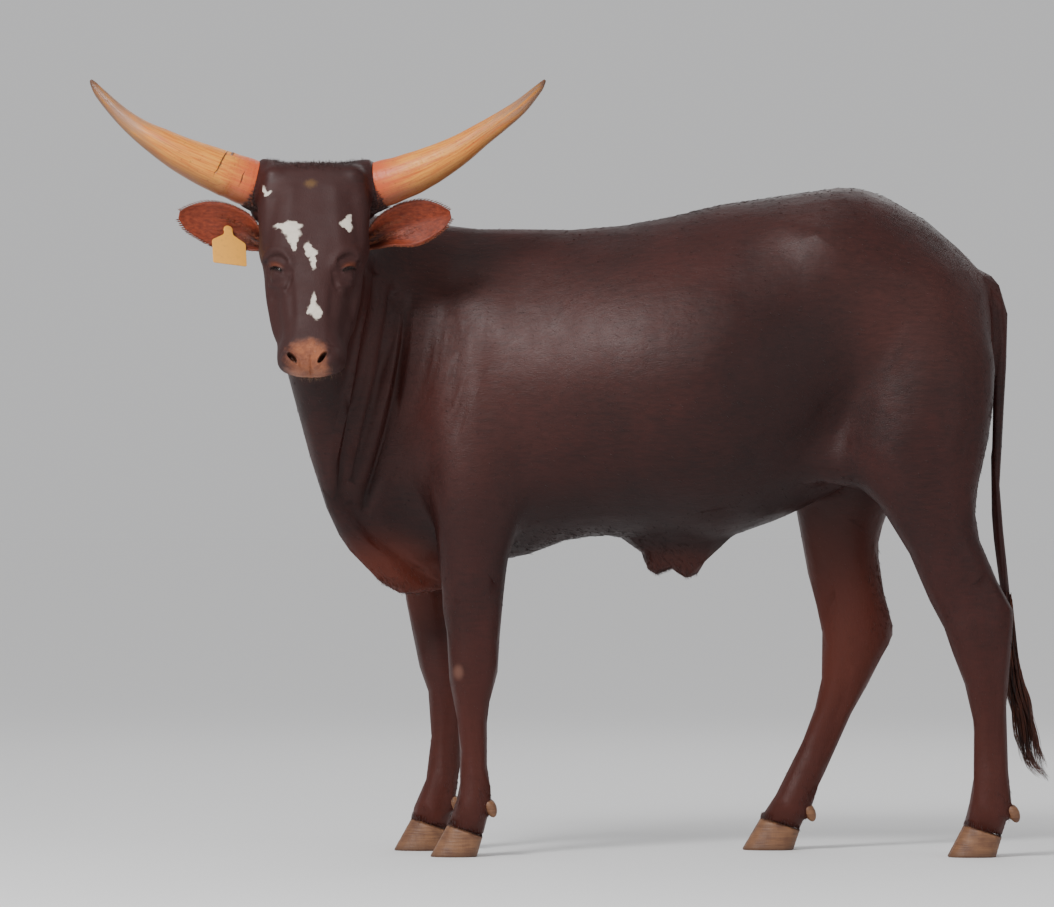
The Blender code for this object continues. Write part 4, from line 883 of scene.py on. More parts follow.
# The eyes are wet dark brown balls, almost hidden behind sleepy lids.
made, shader, at = start_material("wet_eye")
colour = None
for side, node in ((-1, "eye_right"), (1, "eye_left")):
    shape = bmesh.new()
    add_ball(shape, middle(node), EYE_RADIUS, 48, 32)
    ball = piece(node + "_ball", shape)
    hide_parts(node)
    ball.data.materials.append(made)
    gaze = middle(node) + EYE_TURNS[side] @ Vector((0, 0, EYE_RADIUS))
    spin = tuple(EYE_TURNS[side].to_euler())
    iris = at.patch(gaze, (0.0105, 0.0100, 0.006), spin, 0.12)
    pupil = at.patch(gaze, (0.0062, 0.0036, 0.006), spin, 0.12)
    seen = iris.blend(colour or tone(44, 28, 24), tone(40, 22, 14))
    colour = pupil.blend(seen, tone(6, 6, 9))
cloud = at.noise(300.0, 2.0)
finish_material(shader, colour, cloud * 0.05 + 0.22, None, specular_ior_level=0.4)


# The horns are hollow sheaths of keratin on a bone core, broad and ridged at the hair line and worn smooth
# to the tip: pink orange at the root, then amber with grey brown streaks, darker at the tips, painted shade
# beneath.
HORNS = {
    "horn_right": (
        ((-0.612, -0.262, 1.324), 0.0490), ((-0.650, -0.268, 1.338), 0.0488),
        ((-0.690, -0.277, 1.3535), 0.0470),
        ((-0.714, -0.282, 1.3625), 0.0454), ((-0.754, -0.288, 1.379), 0.0418),
        ((-0.795, -0.293, 1.398), 0.0366),
        ((-0.836, -0.294, 1.421), 0.0306), ((-0.877, -0.292, 1.446), 0.0232),
        ((-0.918, -0.285, 1.479), 0.0172),
        ((-0.958, -0.273, 1.520), 0.0118), ((-0.974, -0.267, 1.541), 0.0070),
        ((-0.980, -0.265, 1.550), 0.0028),
    ),
    "horn_left": (
        ((-0.428, -0.262, 1.324), 0.0485), ((-0.390, -0.268, 1.336), 0.0478),
        ((-0.346, -0.278, 1.350), 0.0450),
        ((-0.305, -0.286, 1.366), 0.0414), ((-0.265, -0.291, 1.385), 0.0362),
        ((-0.224, -0.294, 1.408), 0.0304),
        ((-0.183, -0.294, 1.436), 0.0244), ((-0.142, -0.290, 1.464), 0.0200),
        ((-0.101, -0.280, 1.495), 0.0156),
        ((-0.066, -0.269, 1.530), 0.0092), ((-0.056, -0.266, 1.542), 0.0060),
        ((-0.050, -0.264, 1.550), 0.0026),
    ),
}
HORN_SIDES = 32
HORN_AMBER, HORN_PINK, HORN_PALE = tone(198, 98, 20), tone(200, 88, 44), tone(226, 150, 52)
HORN_STREAK_AND_SHADE, HORN_TIP, HORN_CRACK = tone(96, 66, 50), tone(82, 52, 36), tone(44, 26, 20)
HORN_ASH = tone(150, 116, 96)
CRACK_RAGGED = 0.010
CRACKS = (
    ((-0.7105, -0.310, 1.3825), 0.0016, 0.030, 27), ((-0.688, -0.300, 1.402), 0.0030, 0.007, 20),
    ((-0.668, -0.300, 1.350), 0.0012, 0.014, 24),
)
for name, stations in HORNS.items():
    path = smooth_path([spot for spot, radius in stations], 9)
    radii = smooth_path([radius for spot, radius in stations], 9)
    rings, grain, along, facing = [], [], [], []
    side = None
    for i, (centre, radius) in enumerate(zip(path, radii)):
        ahead = Vector(path[min(i + 1, len(path) - 1)] - path[max(i - 1, 0)]).normalized()
        side = (side or ahead.orthogonal()).cross(ahead).cross(ahead).normalized() * -1
        up = ahead.cross(side)
        share = i / (len(path) - 1)
        ridge = 0.0009 * math.sin(60 * share) * max(0.0, 1 - share * 2.6)
        for angle in np.linspace(0, 2 * math.pi, HORN_SIDES, endpoint=False):
            grain.append((math.cos(angle), math.sin(angle), share * 3))
            along.append(share)
            facing.append((math.cos(angle) * side + math.sin(angle) * up).z)
        ring = []
        for angle in np.linspace(0, 2 * math.pi, HORN_SIDES, endpoint=False):
            flute = 0.012 * math.cos(3 * angle + 5 * share) + 0.006 * math.cos(7 * angle - 9 * share)
            reach = float(radius) * (1 + flute * (1 - share)) + ridge * (1 + 0.5 * math.cos(2 * angle))
            ring.append(MIDDLE + Vector(centre) + reach * (math.cos(angle) * side + math.sin(angle) * up))
        rings.append(ring)
    horn = piece(name + "_sheath", loft(rings))
    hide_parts(name)
    note(horn, "grain", grain, "FLOAT_VECTOR")
    note(horn, "along", along)
    note(horn, "facing_up", facing)
made, shader, at = start_material("horn_keratin")
grain = at.noted("grain", 1)
along = at.noted("along")
streaks = grain.grain((9, 9, 2.2), 5.0, 0.65)
fine = grain.grain((34, 34, 2.0), 3.0, 0.6)
rings_of = grain.grain((1.0, 1.0, 26), 2.0, 0.5)
clouds_of = grain.grain((2.5, 2.5, 3.0), 4.0, 0.6)
specks = at.noise(190.0, 3.0, 0.7).over(0.60, 0.72)
upward = at.noted("facing_up")
colour = streaks.over(0.30, 0.62).blend(HORN_AMBER, HORN_PALE)
colour = (1 - (along + streaks * 0.25).over(0.22, 0.44)).blend(colour, HORN_PINK)
ashen = (along + streaks * 0.3).over(0.62, 0.92) * clouds_of.over(0.34, 0.56)
colour = (ashen * 0.85).blend(colour, HORN_ASH)
colour = (fine.over(0.50, 0.70) * along.over(0.25, 0.65) * 0.75).blend(colour, HORN_STREAK_AND_SHADE)
colour = ((along + streaks * 0.2).over(0.74, 1.08) * 0.9).blend(colour, HORN_TIP)
# Painted shade: the underside of each horn is darkened.
colour = ((1 - (upward + fine * 0.5).over(-0.60, 0.05)) * 0.72).blend(colour, HORN_STREAK_AND_SHADE)
colour = (specks * (1 - along.over(0.45, 0.7)) * 0.55).blend(colour, HORN_CRACK)
ragged = at.ragged(CRACK_RAGGED, 60.0)
cracked = None
for spot, across, half, lean in CRACKS:
    crack = ragged.patch(drifted(on_body(*spot), CRACK_RAGGED), (across, 0.060, half),
                         (0, math.radians(lean), 0), 0.4)
    cracked = crack.larger(cracked) if cracked else crack
colour = (cracked * 0.85).blend(colour, HORN_CRACK)
height = rings_of * (1 - along.over(0.15, 0.6)) * 1.2 + fine * 0.5 - cracked * 1.4 - specks * 0.3
finish_material(shader, colour, streaks * 0.22 + along * -0.08 + 0.30, height, 0.0010,
                specular_ior_level=0.5,
                subsurface_weight=0.05, subsurface_scale=0.006)
for name in HORNS:
    bpy.data.objects[name + "_sheath"].data.materials.append(made)


# Each foot stands on two claws of tan horn with growth rings, flat on the ground, and carries two small
# dewclaws behind the fetlock. The claws grow out of the skin at the coronet.
CORONET = (0.066, 0.042)
CLEFT = 0.006
CLAW_WIDTH = 0.0435
FEET = {
    "fore_left": (-1, (-0.288, -0.190), (-0.254, -0.175), 0.126),
    "fore_right": (1, (-0.366, -0.262), (-0.332, -0.247), 0.120),
    "hind_left": (-1, (0.779, 0.880), (0.811, 0.895), 0.141),
    "hind_right": (1, (0.362, 0.470), (0.398, 0.487), 0.140),
}
CLAW_PLAN = (
    (0.00, 0.22), (0.03, 0.50), (0.16, 0.80), (0.38, 0.98), (0.64, 1.00), (0.86, 0.86), (0.98, 0.54),
    (1.00, 0.20),
    (0.95, 0.02), (0.68, 0.00), (0.34, 0.00), (0.08, 0.04),
)
CLAW_RISES = (0.0, 0.03, 0.10, 0.18, 0.26, 0.34, 0.42, 0.50, 0.58, 0.66, 0.74, 0.82, 0.90, 0.97, 1.00, 1.03)
CLAW_TAN, CLAW_BROWN, CLAW_DARK = tone(132, 92, 62), tone(92, 58, 40), tone(56, 36, 28)
DEWCLAW = ((-0.008, 0.012, 0.0085), (-0.003, 0.008, 0.0112), (0.001, 0.002, 0.0122),
           (0.0055, -0.006, 0.0112),
           (0.0090, -0.013, 0.0082), (0.0110, -0.0175, 0.0036), (0.0112, -0.0180, 0.0006))
DEWCLAW_MIDDLE = (0.0008, 0.0, -0.0018)
coronets = []
for foot, (side, sole, coronet, y) in FEET.items():
    for half, way in (("inner", -side), ("outer", side)):
        start = side * y + way * CLEFT / 2
        plan = smooth_path(CLAW_PLAN + CLAW_PLAN[:1], 3)[:-1]
        rings = []
        for rise in CLAW_RISES:
            spread = (0.945 if rise == 0 else 0.985) - 0.070 * rise - 2.2 * max(0.0, rise - 0.97)
            ridge = 0.004 * math.sin(rise * 52) * (0.1 < rise < 0.95)
            ring = []
            for along, across in plan:
                front = sole[0] + (coronet[0] - sole[0]) * rise
                back = sole[1] + (coronet[1] - sole[1]) * rise
                x = (front + back) / 2 + (back - front) * (along - 0.5) * (spread + ridge)
                top = CORONET[0] + (CORONET[1] - CORONET[0]) * along
                push = CLAW_WIDTH * across * (spread + ridge)
                spot = on_body(x, start + way * (push + 0.0006), 0)
                spot.z = top * rise - 0.0005 * (rise > 0.95)
                ring.append(spot)
            rings.append(ring)
            if rise == 0.97:
                coronets.append((ring, on_body((coronet[0] + coronet[1]) / 2, side * y, 0.06)))
        claw = piece(f"hoof_{foot}_{half}", loft(rings))
        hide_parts(f"claw_{foot}_{half}")
        node = f"dewclaw_{foot}_{half}"
        seat = middle(node) - Vector(DEWCLAW_MIDDLE)
        rings = []
        for x, z, radius in smooth_path(DEWCLAW, 5):
            angles = np.linspace(0, 2 * math.pi, 20, endpoint=False)
            ring = [(x + 0.8 * radius * math.cos(a), radius * math.sin(a), z + 0.6 * radius * math.cos(a))
                    for a in angles]
            rings.append([seat + Vector(spot) for spot in ring])
        dewclaw = piece(node + "_horn", loft(rings))
        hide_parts(node)
made, shader, at = start_material("claw_horn")
bands = at.grain((20, 20, 420), 3.0, 0.6)
runs = at.grain((330, 330, 14), 3.0, 0.6)
clouds = at.noise(38.0, 3.0)
level = at.height()
colour = (bands * 0.5 + clouds * 0.6).over(0.35, 0.75).blend(CLAW_TAN, CLAW_BROWN)
colour = ((1 - (level + clouds * 0.02).over(0.006, 0.030)) * 0.55).blend(colour, CLAW_DARK)
finish_material(shader, colour, runs * 0.25 + 0.36, bands * 0.8 + runs * 0.5, 0.0012,
                specular_ior_level=0.45)
for thing in bpy.data.objects:
    if thing.name.startswith(("hoof_", "dewclaw_")) and thing.name not in frame["nodes"]:
        thing.data.materials.append(made)


# A bendy yellow plate hangs in the cup of the right ear by a stud through the ear, and the stud of another
# shows in the left ear. Both are moulded plastic, and the plate is bare.
TAG_OUTLINE = (
    (-0.007, 0.006), (0.007, 0.006), (0.010, -0.014), (0.036, -0.031), (0.036, -0.0855), (-0.036, -0.0855),
    (-0.036, -0.031), (-0.010, -0.014),
)
TAG_THICKNESS = 0.0022
TAG_TOP = (-0.699, -0.2760, 1.2445)
tag_turn = Matrix()
for angle, axis in ((-31, "X"), (7, "Y"), (18, "Z")):
    tag_turn = Matrix.Rotation(math.radians(angle), 4, axis) @ tag_turn
shape = bmesh.new()
corners = [shape.verts.new((x, 0, z)) for x, z in TAG_OUTLINE]
shape.faces.new(corners)
bmesh.ops.bevel(shape, geom=shape.verts[:], offset=0.0035, segments=3, profile=0.5, affect="VERTICES",
                material=-1)
grown = bmesh.ops.extrude_face_region(shape, geom=shape.faces[:])["geom"]
bmesh.ops.translate(shape, verts=[v for v in grown if isinstance(v, bmesh.types.BMVert)],
                    vec=(0, -TAG_THICKNESS, 0))
bmesh.ops.recalc_face_normals(shape, faces=shape.faces)
rims = [e for e in shape.edges if e.calc_face_angle(0) > 1.2]
bmesh.ops.bevel(shape, geom=rims, offset=0.0006, segments=2, profile=0.5, affect="EDGES", material=-1)
bmesh.ops.transform(shape, verts=shape.verts, matrix=Matrix.Translation(on_body(*TAG_TOP)) @ tag_turn)
tag = piece("tag_plate", shape, smooth=False)


def turned(name, profile, seat, direction):
    """A turned piece: a profile of distances along and out from an axis, spun about it."""
    shape = bmesh.new()
    line = [shape.verts.new((out, 0, along)) for along, out in profile]
    edges = [shape.edges.new(pair) for pair in zip(line, line[1:])]
    bmesh.ops.spin(shape, geom=line + edges, cent=(0, 0, 0), axis=(0, 0, 1), dvec=(0, 0, 0), angle=2
                   * math.pi,
                   steps=32, use_merge=True)
    bmesh.ops.remove_doubles(shape, verts=shape.verts, dist=MERGE)
    bmesh.ops.recalc_face_normals(shape, faces=shape.faces)
    aim = Vector((0, 0, 1)).rotation_difference(Vector(direction)).to_matrix().to_4x4()
    bmesh.ops.transform(shape, verts=shape.verts, matrix=Matrix.Translation(seat) @ aim)
    return piece(name, shape)


STUD = ((0.0, 0.0), (0.0, 0.0085), (0.0008, 0.0098), (0.0022, 0.0100), (0.0030, 0.0080), (0.0034, 0.0032),
        (0.0060, 0.0027),
        (0.0235, 0.0027), (0.0237, 0.0086), (0.0255, 0.0088), (0.0260, 0.0))
stud_way = tag_turn @ Vector((0, -1, 0))
stud_seat = on_body(*TAG_TOP) - stud_way * 0.0005 - Vector((0, 0, 0.002))
stud = turned("tag_stud", [(0.0036 - a, r) for a, r in STUD], stud_seat, stud_way)
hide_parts("ear_tag")
BUTTON = ((-0.0090, 0.0), (-0.0085, 0.0026), (0.0, 0.0026), (0.0, 0.0098), (0.0008, 0.0106),
          (0.0024, 0.0104), (0.0030, 0.0092),
          (0.0026, 0.0058), (0.0036, 0.0050), (0.0044, 0.0036), (0.0046, 0.0))
button = turned("button_disc", BUTTON, on_body(-0.336, -0.2496, 1.256), (0, -1, -0.1))
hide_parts("ear_button")
for name, plastic, things in (("tag_plastic", tone(232, 164, 66), (tag, stud)),
                              ("button_plastic", tone(232, 222, 168), (button,))):
    made, shader, at = start_material(name)
    worn = at.noise(90.0, 4.0, 0.6)
    scuffs = at.grain((60, 400, 500), 3.0, 0.6, (0, 0.6, 0))
    colour = (worn.over(0.50, 0.75) * 0.35).blend(plastic, tone(178, 122, 66))
    finish_material(shader, colour, scuffs * 0.25 + 0.35, scuffs, 0.0002, specular_ior_level=0.5)
    for thing in things:
        thing.data.materials.append(made)


# Hair stands off the hide where the coat is longer or turns an edge: all along the outline, thicker at the
# brisket, the belly, the sheath and the backs of the legs. Each tuft is a flat tapered lock, solid, with its
# root sunk in.
HAIR_PATCH = 0.003
LOCK_RINGS = 3
LEGS = {(-1, False): (-0.200, 0.130), (1, False): (-0.270, 0.125), (-1, True): (0.860, 0.141),
        (1, True): (0.560, 0.140)}
LOWEST = -0.05


def unwrapped(points):
    """Where a root lies on a flat spread of the hide: trunk, face, legs and tail are each rolled out."""
    rel = points - np.array(MIDDLE)
    flat = np.zeros((len(points), 2))
    turned_by = np.arctan2(rel[:, 1], rel[:, 2] - 0.90) / (2 * math.pi) + 0.5
    flat[:, 0] = np.clip((rel[:, 0] + 0.75) / 1.75, 0, 1) * 0.98 + 0.01
    flat[:, 1] = turned_by * 0.46 + 0.01
    local = (points - np.array(HEAD_ORIGIN)) @ np.array(HEAD_TURN)
    face_share = on_face(points) > 0.5
    flat[face_share, 0] = 0.01 + 0.46 * np.clip((local[face_share, 1] + 0.08) / 0.56, 0, 1)
    flat[face_share, 1] = 0.52 + 0.46 * (np.arctan2(local[face_share, 0], local[face_share, 2] + 0.08)
                                         / (2 * math.pi) + 0.5)
    for k, ((side, hind), (x, y)) in enumerate(LEGS.items()):
        own = (rel[:, 2] < 0.56) & (side * rel[:, 1] > 0.05) & ((rel[:, 0] > 0.2) == hind)
        own &= (rel[:, 0] < -0.02) | (rel[:, 0] > 0.40)
        angle = np.arctan2(rel[own, 1] - side * y, rel[own, 0] - x) / (2 * math.pi) + 0.5
        flat[own, 0] = 0.50 + 0.095 * k + 0.085 * angle
        flat[own, 1] = 0.52 + 0.46 * (rel[own, 2] - LOWEST) / (0.56 - LOWEST)
    own = (rel[:, 0] > 0.855) & (abs(rel[:, 1]) < 0.045)
    angle = np.arctan2(rel[own, 1], rel[own, 0] - 0.895) / (2 * math.pi) + 0.5
    flat[own, 0] = 0.89 + 0.09 * angle
    flat[own, 1] = 0.52 + 0.46 * np.clip((rel[own, 2] - LOWEST) / 1.25, 0, 1)
    return flat


def hair(name, spots, one, spread):
    """A piece of equal locks: the points of each, the faces of one, and where each point is baked."""
    count, each = spots.shape[:2]
    faces = (np.arange(count)[:, None, None] * each + np.array(one)[None]).reshape(-1, 3)
    mesh = bpy.data.meshes.new(name)
    mesh.vertices.add(count * each)
    mesh.vertices.foreach_set("co", spots.ravel())
    mesh.loops.add(faces.size)
    mesh.loops.foreach_set("vertex_index", faces.ravel())
    mesh.polygons.add(len(faces))
    mesh.polygons.foreach_set("loop_start", np.arange(0, faces.size, 3))
    mesh.update(calc_edges=True)
    mesh.validate()
    bake = mesh.uv_layers.new(name="OFBake")
    bake.data.foreach_set("uv", spread.reshape(-1, 2)[faces.ravel()].ravel())
    mesh.shade_smooth()
    thing = placed(name, mesh)
    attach(thing, "root")
    return thing


def locks(name, roots, ways, sags, lengths, widths, rings=LOCK_RINGS, flat=0.45):
    """One piece of solid tapered locks: each leaves its root along its way and bends by its sag."""
    roots, ways, sags = (np.asarray(v, float) for v in (roots, ways, sags))
    lengths, widths = np.asarray(lengths, float), np.asarray(widths, float)
    count = len(roots)
    ways = ways / length_of(ways)[:, None]
    across = np.cross(ways, np.where(abs(ways[:, :1]) > 0.8, (0.0, 1.0, 0.0), (1.0, 0.0, 0.0)) * 0.4 + sags)
    across /= np.maximum(length_of(across), 1e-9)[:, None]
    thick = np.cross(ways, across)
    spots = np.empty((count, 3 * rings + 1, 3))
    for ring in range(rings):
        share = ring / rings
        centre = roots + (ways * share + sags * share**2) * lengths[:, None]
        half = widths * (1 - share) ** 0.7
        for k, angle in enumerate((0.0, 2.1, 4.2)):
            spots[:, 3 * ring + k] = centre + (across * (half * math.cos(angle))[:, None]
                                               + thick * (half * flat * math.sin(angle))[:, None])
    spots[:, -1] = roots + (ways + sags) * lengths[:, None]
    one = []
    for ring in range(rings - 1):
        for k in range(3):
            a, b = 3 * ring + k, 3 * ring + (k + 1) % 3
            one += [(a, b, b + 3), (a, b + 3, a + 3)]
    last, tip = 3 * (rings - 1), 3 * rings
    one += [(last + k, last + (k + 1) % 3, tip) for k in range(3)] + [(2, 1, 0)]
    corner = np.arange(3 * rings + 1)
    step = np.stack([(corner // 3) / rings - 0.5, (corner % 3) / 2 - 0.5], axis=1) * HAIR_PATCH
    return hair(name, spots, one, unwrapped(roots)[:, None] + step[None])


draw = np.random.default_rng(5)
hide_mesh = skin.data
hide_mesh.calc_loop_triangles()
corners = np.empty(3 * len(hide_mesh.loop_triangles), int)
hide_mesh.loop_triangles.foreach_get("vertices", corners)
corners = corners.reshape(-1, 3)
hide_at = coordinates(hide_mesh)
face_corners = hide_at[corners]
face_out = np.cross(face_corners[:, 1] - face_corners[:, 0], face_corners[:, 2] - face_corners[:, 0])
face_area = length_of(face_out) / 2
face_out = face_out / np.maximum(2 * face_area, 1e-12)[:, None]
face_at = face_corners.mean(axis=1)


def scattered(count, density):
    """Roots spread over the hide by a density at each place, with the way out of the hide there."""
    shares = face_area * density(face_at)
    picked = draw.choice(len(shares), count, p=shares / shares.sum())
    a, b = draw.random(count), draw.random(count)
    a, b = np.where(a + b > 1, 1 - a, a), np.where(a + b > 1, 1 - b, b)
    spot = face_corners[picked]
    roots = spot[:, 0] + a[:, None] * (spot[:, 1] - spot[:, 0]) + b[:, None] * (spot[:, 2] - spot[:, 0])
    return roots, face_out[picked]


def lie_of_coat(at, out):
    """The way the hairs lie: to the tail and down on the trunk, and down legs, tail and face."""
    rel = at - np.array(MIDDLE)
    way = np.tile((0.86, 0.0, -0.50), (len(at), 1))
    down = np.maximum(1 - fade(rel[:, 2], 0.45, 0.70), fade(rel[:, 0], 0.84, 0.88))[:, None]
    way = way * (1 - down) + np.array((0.10, 0.0, -1.0)) * down
    face_share = on_face(at)[:, None]
    way = way * (1 - face_share) + np.array(down_face) * face_share
    way += draw.normal(0, 0.10, (len(at), 3))
    way -= out * (way * out).sum(axis=1)[:, None]
    return way / np.maximum(length_of(way), 1e-9)[:, None]


def nearness(at, places):
    """How near each point is to the nearest of some ellipsoids, 1 at their middles and 0 outside."""
    best = np.zeros(len(at))
    rel = at - np.array(MIDDLE)
    for (x, y, z), radii, strength in places:
        for side in (-1, 1):
            off = (rel - np.array((x, side * y, z))) / np.array(radii)
            best = np.maximum(best, strength * (1 - fade(length_of(off), 0.4, 1.0)))
    return best


MUZZLE_BARE = np.array((0.054, 0.044, 0.052))


def bare(at):
    """1 where no hair grows: on the muzzle pad, the lids' rims and inside the nostrils."""
    muzzle_off = (at - np.array(on_head(0, 0.440, -0.044))) @ np.array(HEAD_TURN) / MUZZLE_BARE
    return np.maximum(1 - fade(length_of(muzzle_off), 0.9, 1.0), near_eyes(at) * 1.0)


def laid(roots, out, low, high, lift, curl=0.15):
    """Ways, sags and lengths for hairs that lie along the coat, standing off it by a lift."""
    lie = lie_of_coat(roots, out)
    ways = lie * math.cos(lift) + out * math.sin(lift)
    sags = -out * (math.sin(lift) * 0.7) + draw.normal(0, curl, (len(roots), 3))
    return ways, sags, draw.uniform(low, high, len(roots))


HAIR_SINK = 0.0006
COAT_TUFTS, FRINGE_TUFTS, SHEATH_TUFTS = 19000, 8000, 300
made, shader, at = start_material("coat_hair")
colour, _, _ = coat_colour(at)
strands = at.noise(700.0, 1.0)
finish_material(shader, colour, strands * 0.2 + 0.38, None, specular_ior_level=0.4, sheen_weight=0.08)
coat_hair = made


def coat_density(at):
    return (1 - bare(at)) * (1 + 0.8 * on_face(at) + 0.6 * on_legs(at))


roots, out = scattered(COAT_TUFTS, coat_density)
short = 1 - 0.45 * on_face(roots) - 0.25 * on_legs(roots)
ways, sags, lengths = laid(roots, out, 0.0070, 0.0110, math.radians(11))
widths = draw.uniform(0.0005, 0.0009, len(roots))
short_coat = locks("coat_short_hair", roots - out * HAIR_SINK, ways, sags, lengths * short, widths,
                   rings=2)
FRINGES = (
    ((-0.400, 0.00, 0.500), (0.160, 0.110, 0.090), 1.0), ((-0.500, 0.00, 0.720), (0.060, 0.060, 0.200), 0.8),
    ((0.190, 0.00, 0.560), (0.100, 0.080, 0.060), 1.0), ((0.000, 0.00, 0.600), (0.300, 0.160, 0.050), 0.3),
    ((0.860, 0.10, 0.720), (0.060, 0.090, 0.260), 0.5), ((0.650, 0.14, 0.500), (0.050, 0.080, 0.120), 0.5),
    ((-0.165, 0.13, 0.070), (0.030, 0.060, 0.050), 1.0), ((-0.240, 0.12, 0.066), (0.030, 0.060, 0.050), 1.0),
    ((0.910, 0.14, 0.060), (0.030, 0.060, 0.050), 1.0), ((0.505, 0.14, 0.050), (0.035, 0.060, 0.050), 1.0),
    ((0.300, 0.00, 1.290), (0.600, 0.050, 0.060), 0.3),
)
roots, out = scattered(FRINGE_TUFTS, lambda at: nearness(at, FRINGES) * (1 - on_face(at)))
ways, sags, lengths = laid(roots, out, 0.007, 0.013, math.radians(14), 0.18)
widths = draw.uniform(0.0005, 0.0009, len(roots))
fringe = locks("coat_fringe", roots - out * HAIR_SINK, ways, sags, lengths, widths)
SHEATH_TIPS = (((0.188, 0.0, 0.540), (0.022, 0.022, 0.022), 1.0),
               ((0.246, 0.0, 0.535), (0.022, 0.022, 0.022), 1.0))
roots, out = scattered(SHEATH_TUFTS, lambda at: nearness(at, SHEATH_TIPS))
ways = out * 0.5 + np.array((0.10, 0.0, -1.0)) + draw.normal(0, 0.2, (len(roots), 3))
sags = draw.normal(0, 0.15, (len(roots), 3))
sheath_hair = locks("sheath_hair", roots - out * HAIR_SINK, ways, sags,
                    draw.uniform(0.004, 0.009, len(roots)),
                    draw.uniform(0.0004, 0.0008, len(roots)), rings=4)
for thing in (short_coat, fringe, sheath_hair):
    thing.data.materials.append(coat_hair)


# At each horn's root the coat runs out along the horn in a dark ragged collar, and the poll between the
# horns carries short dense hair.
COLLAR_ROWS, COLLAR_TUFTS, POLL_TUFTS = 8, 120, 1500
roots, ways, sags, lengths = [], [], [], []
chance = random.Random(3)
for name, stations in HORNS.items():
    start, ahead = Vector(stations[0][0]), (Vector(stations[1][0]) - Vector(stations[0][0])).normalized()
    across = ahead.cross(Vector((0, 1, 0))).normalized()
    for row in range(COLLAR_ROWS):
        for k in range(COLLAR_TUFTS):
            angle = 2 * math.pi * (k + chance.random()) / COLLAR_TUFTS
            round_to = across * math.cos(angle) + ahead.cross(across) * math.sin(angle)
            under = max(0.0, -round_to.z)
            reach = 0.004 + 0.0042 * row + 0.006 * under + chance.uniform(-0.002, 0.002)
            roots.append(MIDDLE + start + ahead * reach + round_to * (0.0545 - 0.0005 * row))
            ways.append(ahead + round_to * (0.10 - 0.02 * row)
                        + Vector([chance.gauss(0, 0.10) for _ in range(3)]))
            sags.append(round_to * -0.16)
            lengths.append(chance.uniform(0.006, 0.010))
collar = locks("horn_collar_hair", roots, ways, sags, lengths,
               [chance.uniform(0.0008, 0.0015) for _ in roots])
roots, out = scattered(POLL_TUFTS,
                       lambda at: nearness(at, (((-0.522, -0.290, 1.385), (0.115, 0.075, 0.035), 1.0),)))
ways = out * 0.7 + np.array((0.0, 0.45, 0.20)) + draw.normal(0, 0.25, (len(roots), 3))
poll = locks("poll_hair", roots - out * HAIR_SINK, ways, draw.normal(0, 0.2, (len(roots), 3)),
             draw.uniform(0.004, 0.008, len(roots)), draw.uniform(0.0005, 0.0009, len(roots)))
for thing in (collar, poll):
    thing.data.materials.append(coat_hair)


# The ears are fringed along both rims, with longer pale rust hair across the opening near the root. Dark
# lashes stand on the lids, and thin pale bristles on the lips and chin.
RIM_HAIRS, CUP_ROWS, CUP_HAIRS = 26, 18, 20
LASHES = ((1, 64, 0.0090), (-1, 28, 0.0050))
LASH_HALF_WIDTH = 0.00028
BRISTLES, BRISTLE_REACH = 260, 0.040
roots, ways, sags, lengths, widths = [], [], [], [], []
for name, rows in ear_rims.items():
    side = EARS[name][0]
    for i, (lower, upper, centre, ahead, up) in enumerate(rows[3:-1]):
        for edge, way_out in ((lower, -1), (upper, 1)):
            for _ in range(RIM_HAIRS):
                roots.append(edge + ahead * chance.uniform(-0.003, 0.003)
                             + Vector((0, chance.uniform(-0.001, 0.002), 0)))
                ways.append(ahead * chance.uniform(0.6, 1.2) + up * way_out * 0.6
                            + Vector((0, chance.gauss(-0.15, 0.25), 0)))
                sags.append(ahead * 0.15)
                lengths.append(chance.uniform(0.003, 0.006))
                widths.append(chance.uniform(0.0004, 0.0007))
        if i < CUP_ROWS:
            for _ in range(CUP_HAIRS - i):
                share = chance.random()
                base = lower.lerp(upper, 0.12 + 0.30 * share if i % 2 else 0.90 - 0.2 * share)
                roots.append(base.lerp(centre, 0.35) + Vector((0, 0.002, 0)))
                toward = (centre - base).normalized()
                ways.append(ahead * 1.0 + toward * chance.uniform(0.1, 0.5)
                            + Vector((0, chance.uniform(-0.5, -0.1), 0)))
                sags.append(ahead * 0.3 + Vector([chance.gauss(0, 0.12) for _ in range(3)]))
                lengths.append(chance.uniform(0.008, 0.018))
                widths.append(chance.uniform(0.0003, 0.0006))
ear_hair = locks("ear_hair", roots, ways, sags, lengths, widths, rings=4)
made, shader, at = start_material("ear_hair_rust")
shade = at.noise(160.0, 2.0)
colour = shade.over(0.35, 0.65).blend(tone(136, 70, 42), tone(96, 46, 28))
finish_material(shader, colour, shade * 0.1 + 0.45, None, specular_ior_level=0.4)
ear_hair.data.materials.append(made)

roots, ways, sags, lengths, widths = [], [], [], [], []
for side in (-1, 1):
    eye = eye_place(side)
    for lid, count, reach in LASHES:
        for k in range(count):
            along = SLIT_HALF_LENGTH * (2 * (k + 0.5) / count - 1) * 0.95
            inside = 1 - (along / SLIT_HALF_LENGTH) ** 2
            height = SLIT_ARCH * (inside - 0.5) + (SLIT_HALF_HEIGHT * math.sqrt(inside) + 0.0014) * lid
            out_by = math.sqrt(max((EYE_RADIUS + LID_THICKNESS) ** 2 - along**2 - height**2, 0))
            brow = brow_way(side)
            roots.append(eye + EYE_TURNS[side] @ Vector((along, brow * height, out_by)))
            ways.append(EYE_TURNS[side] @ Vector((along * 14, -brow * 0.55, 0.8)))
            sags.append(EYE_TURNS[side] @ Vector((0, -brow * 0.15, 0)))
            lengths.append(reach * chance.uniform(0.75, 1.1) * (1 - 0.35 * abs(along) / SLIT_HALF_LENGTH))
            widths.append(LASH_HALF_WIDTH)
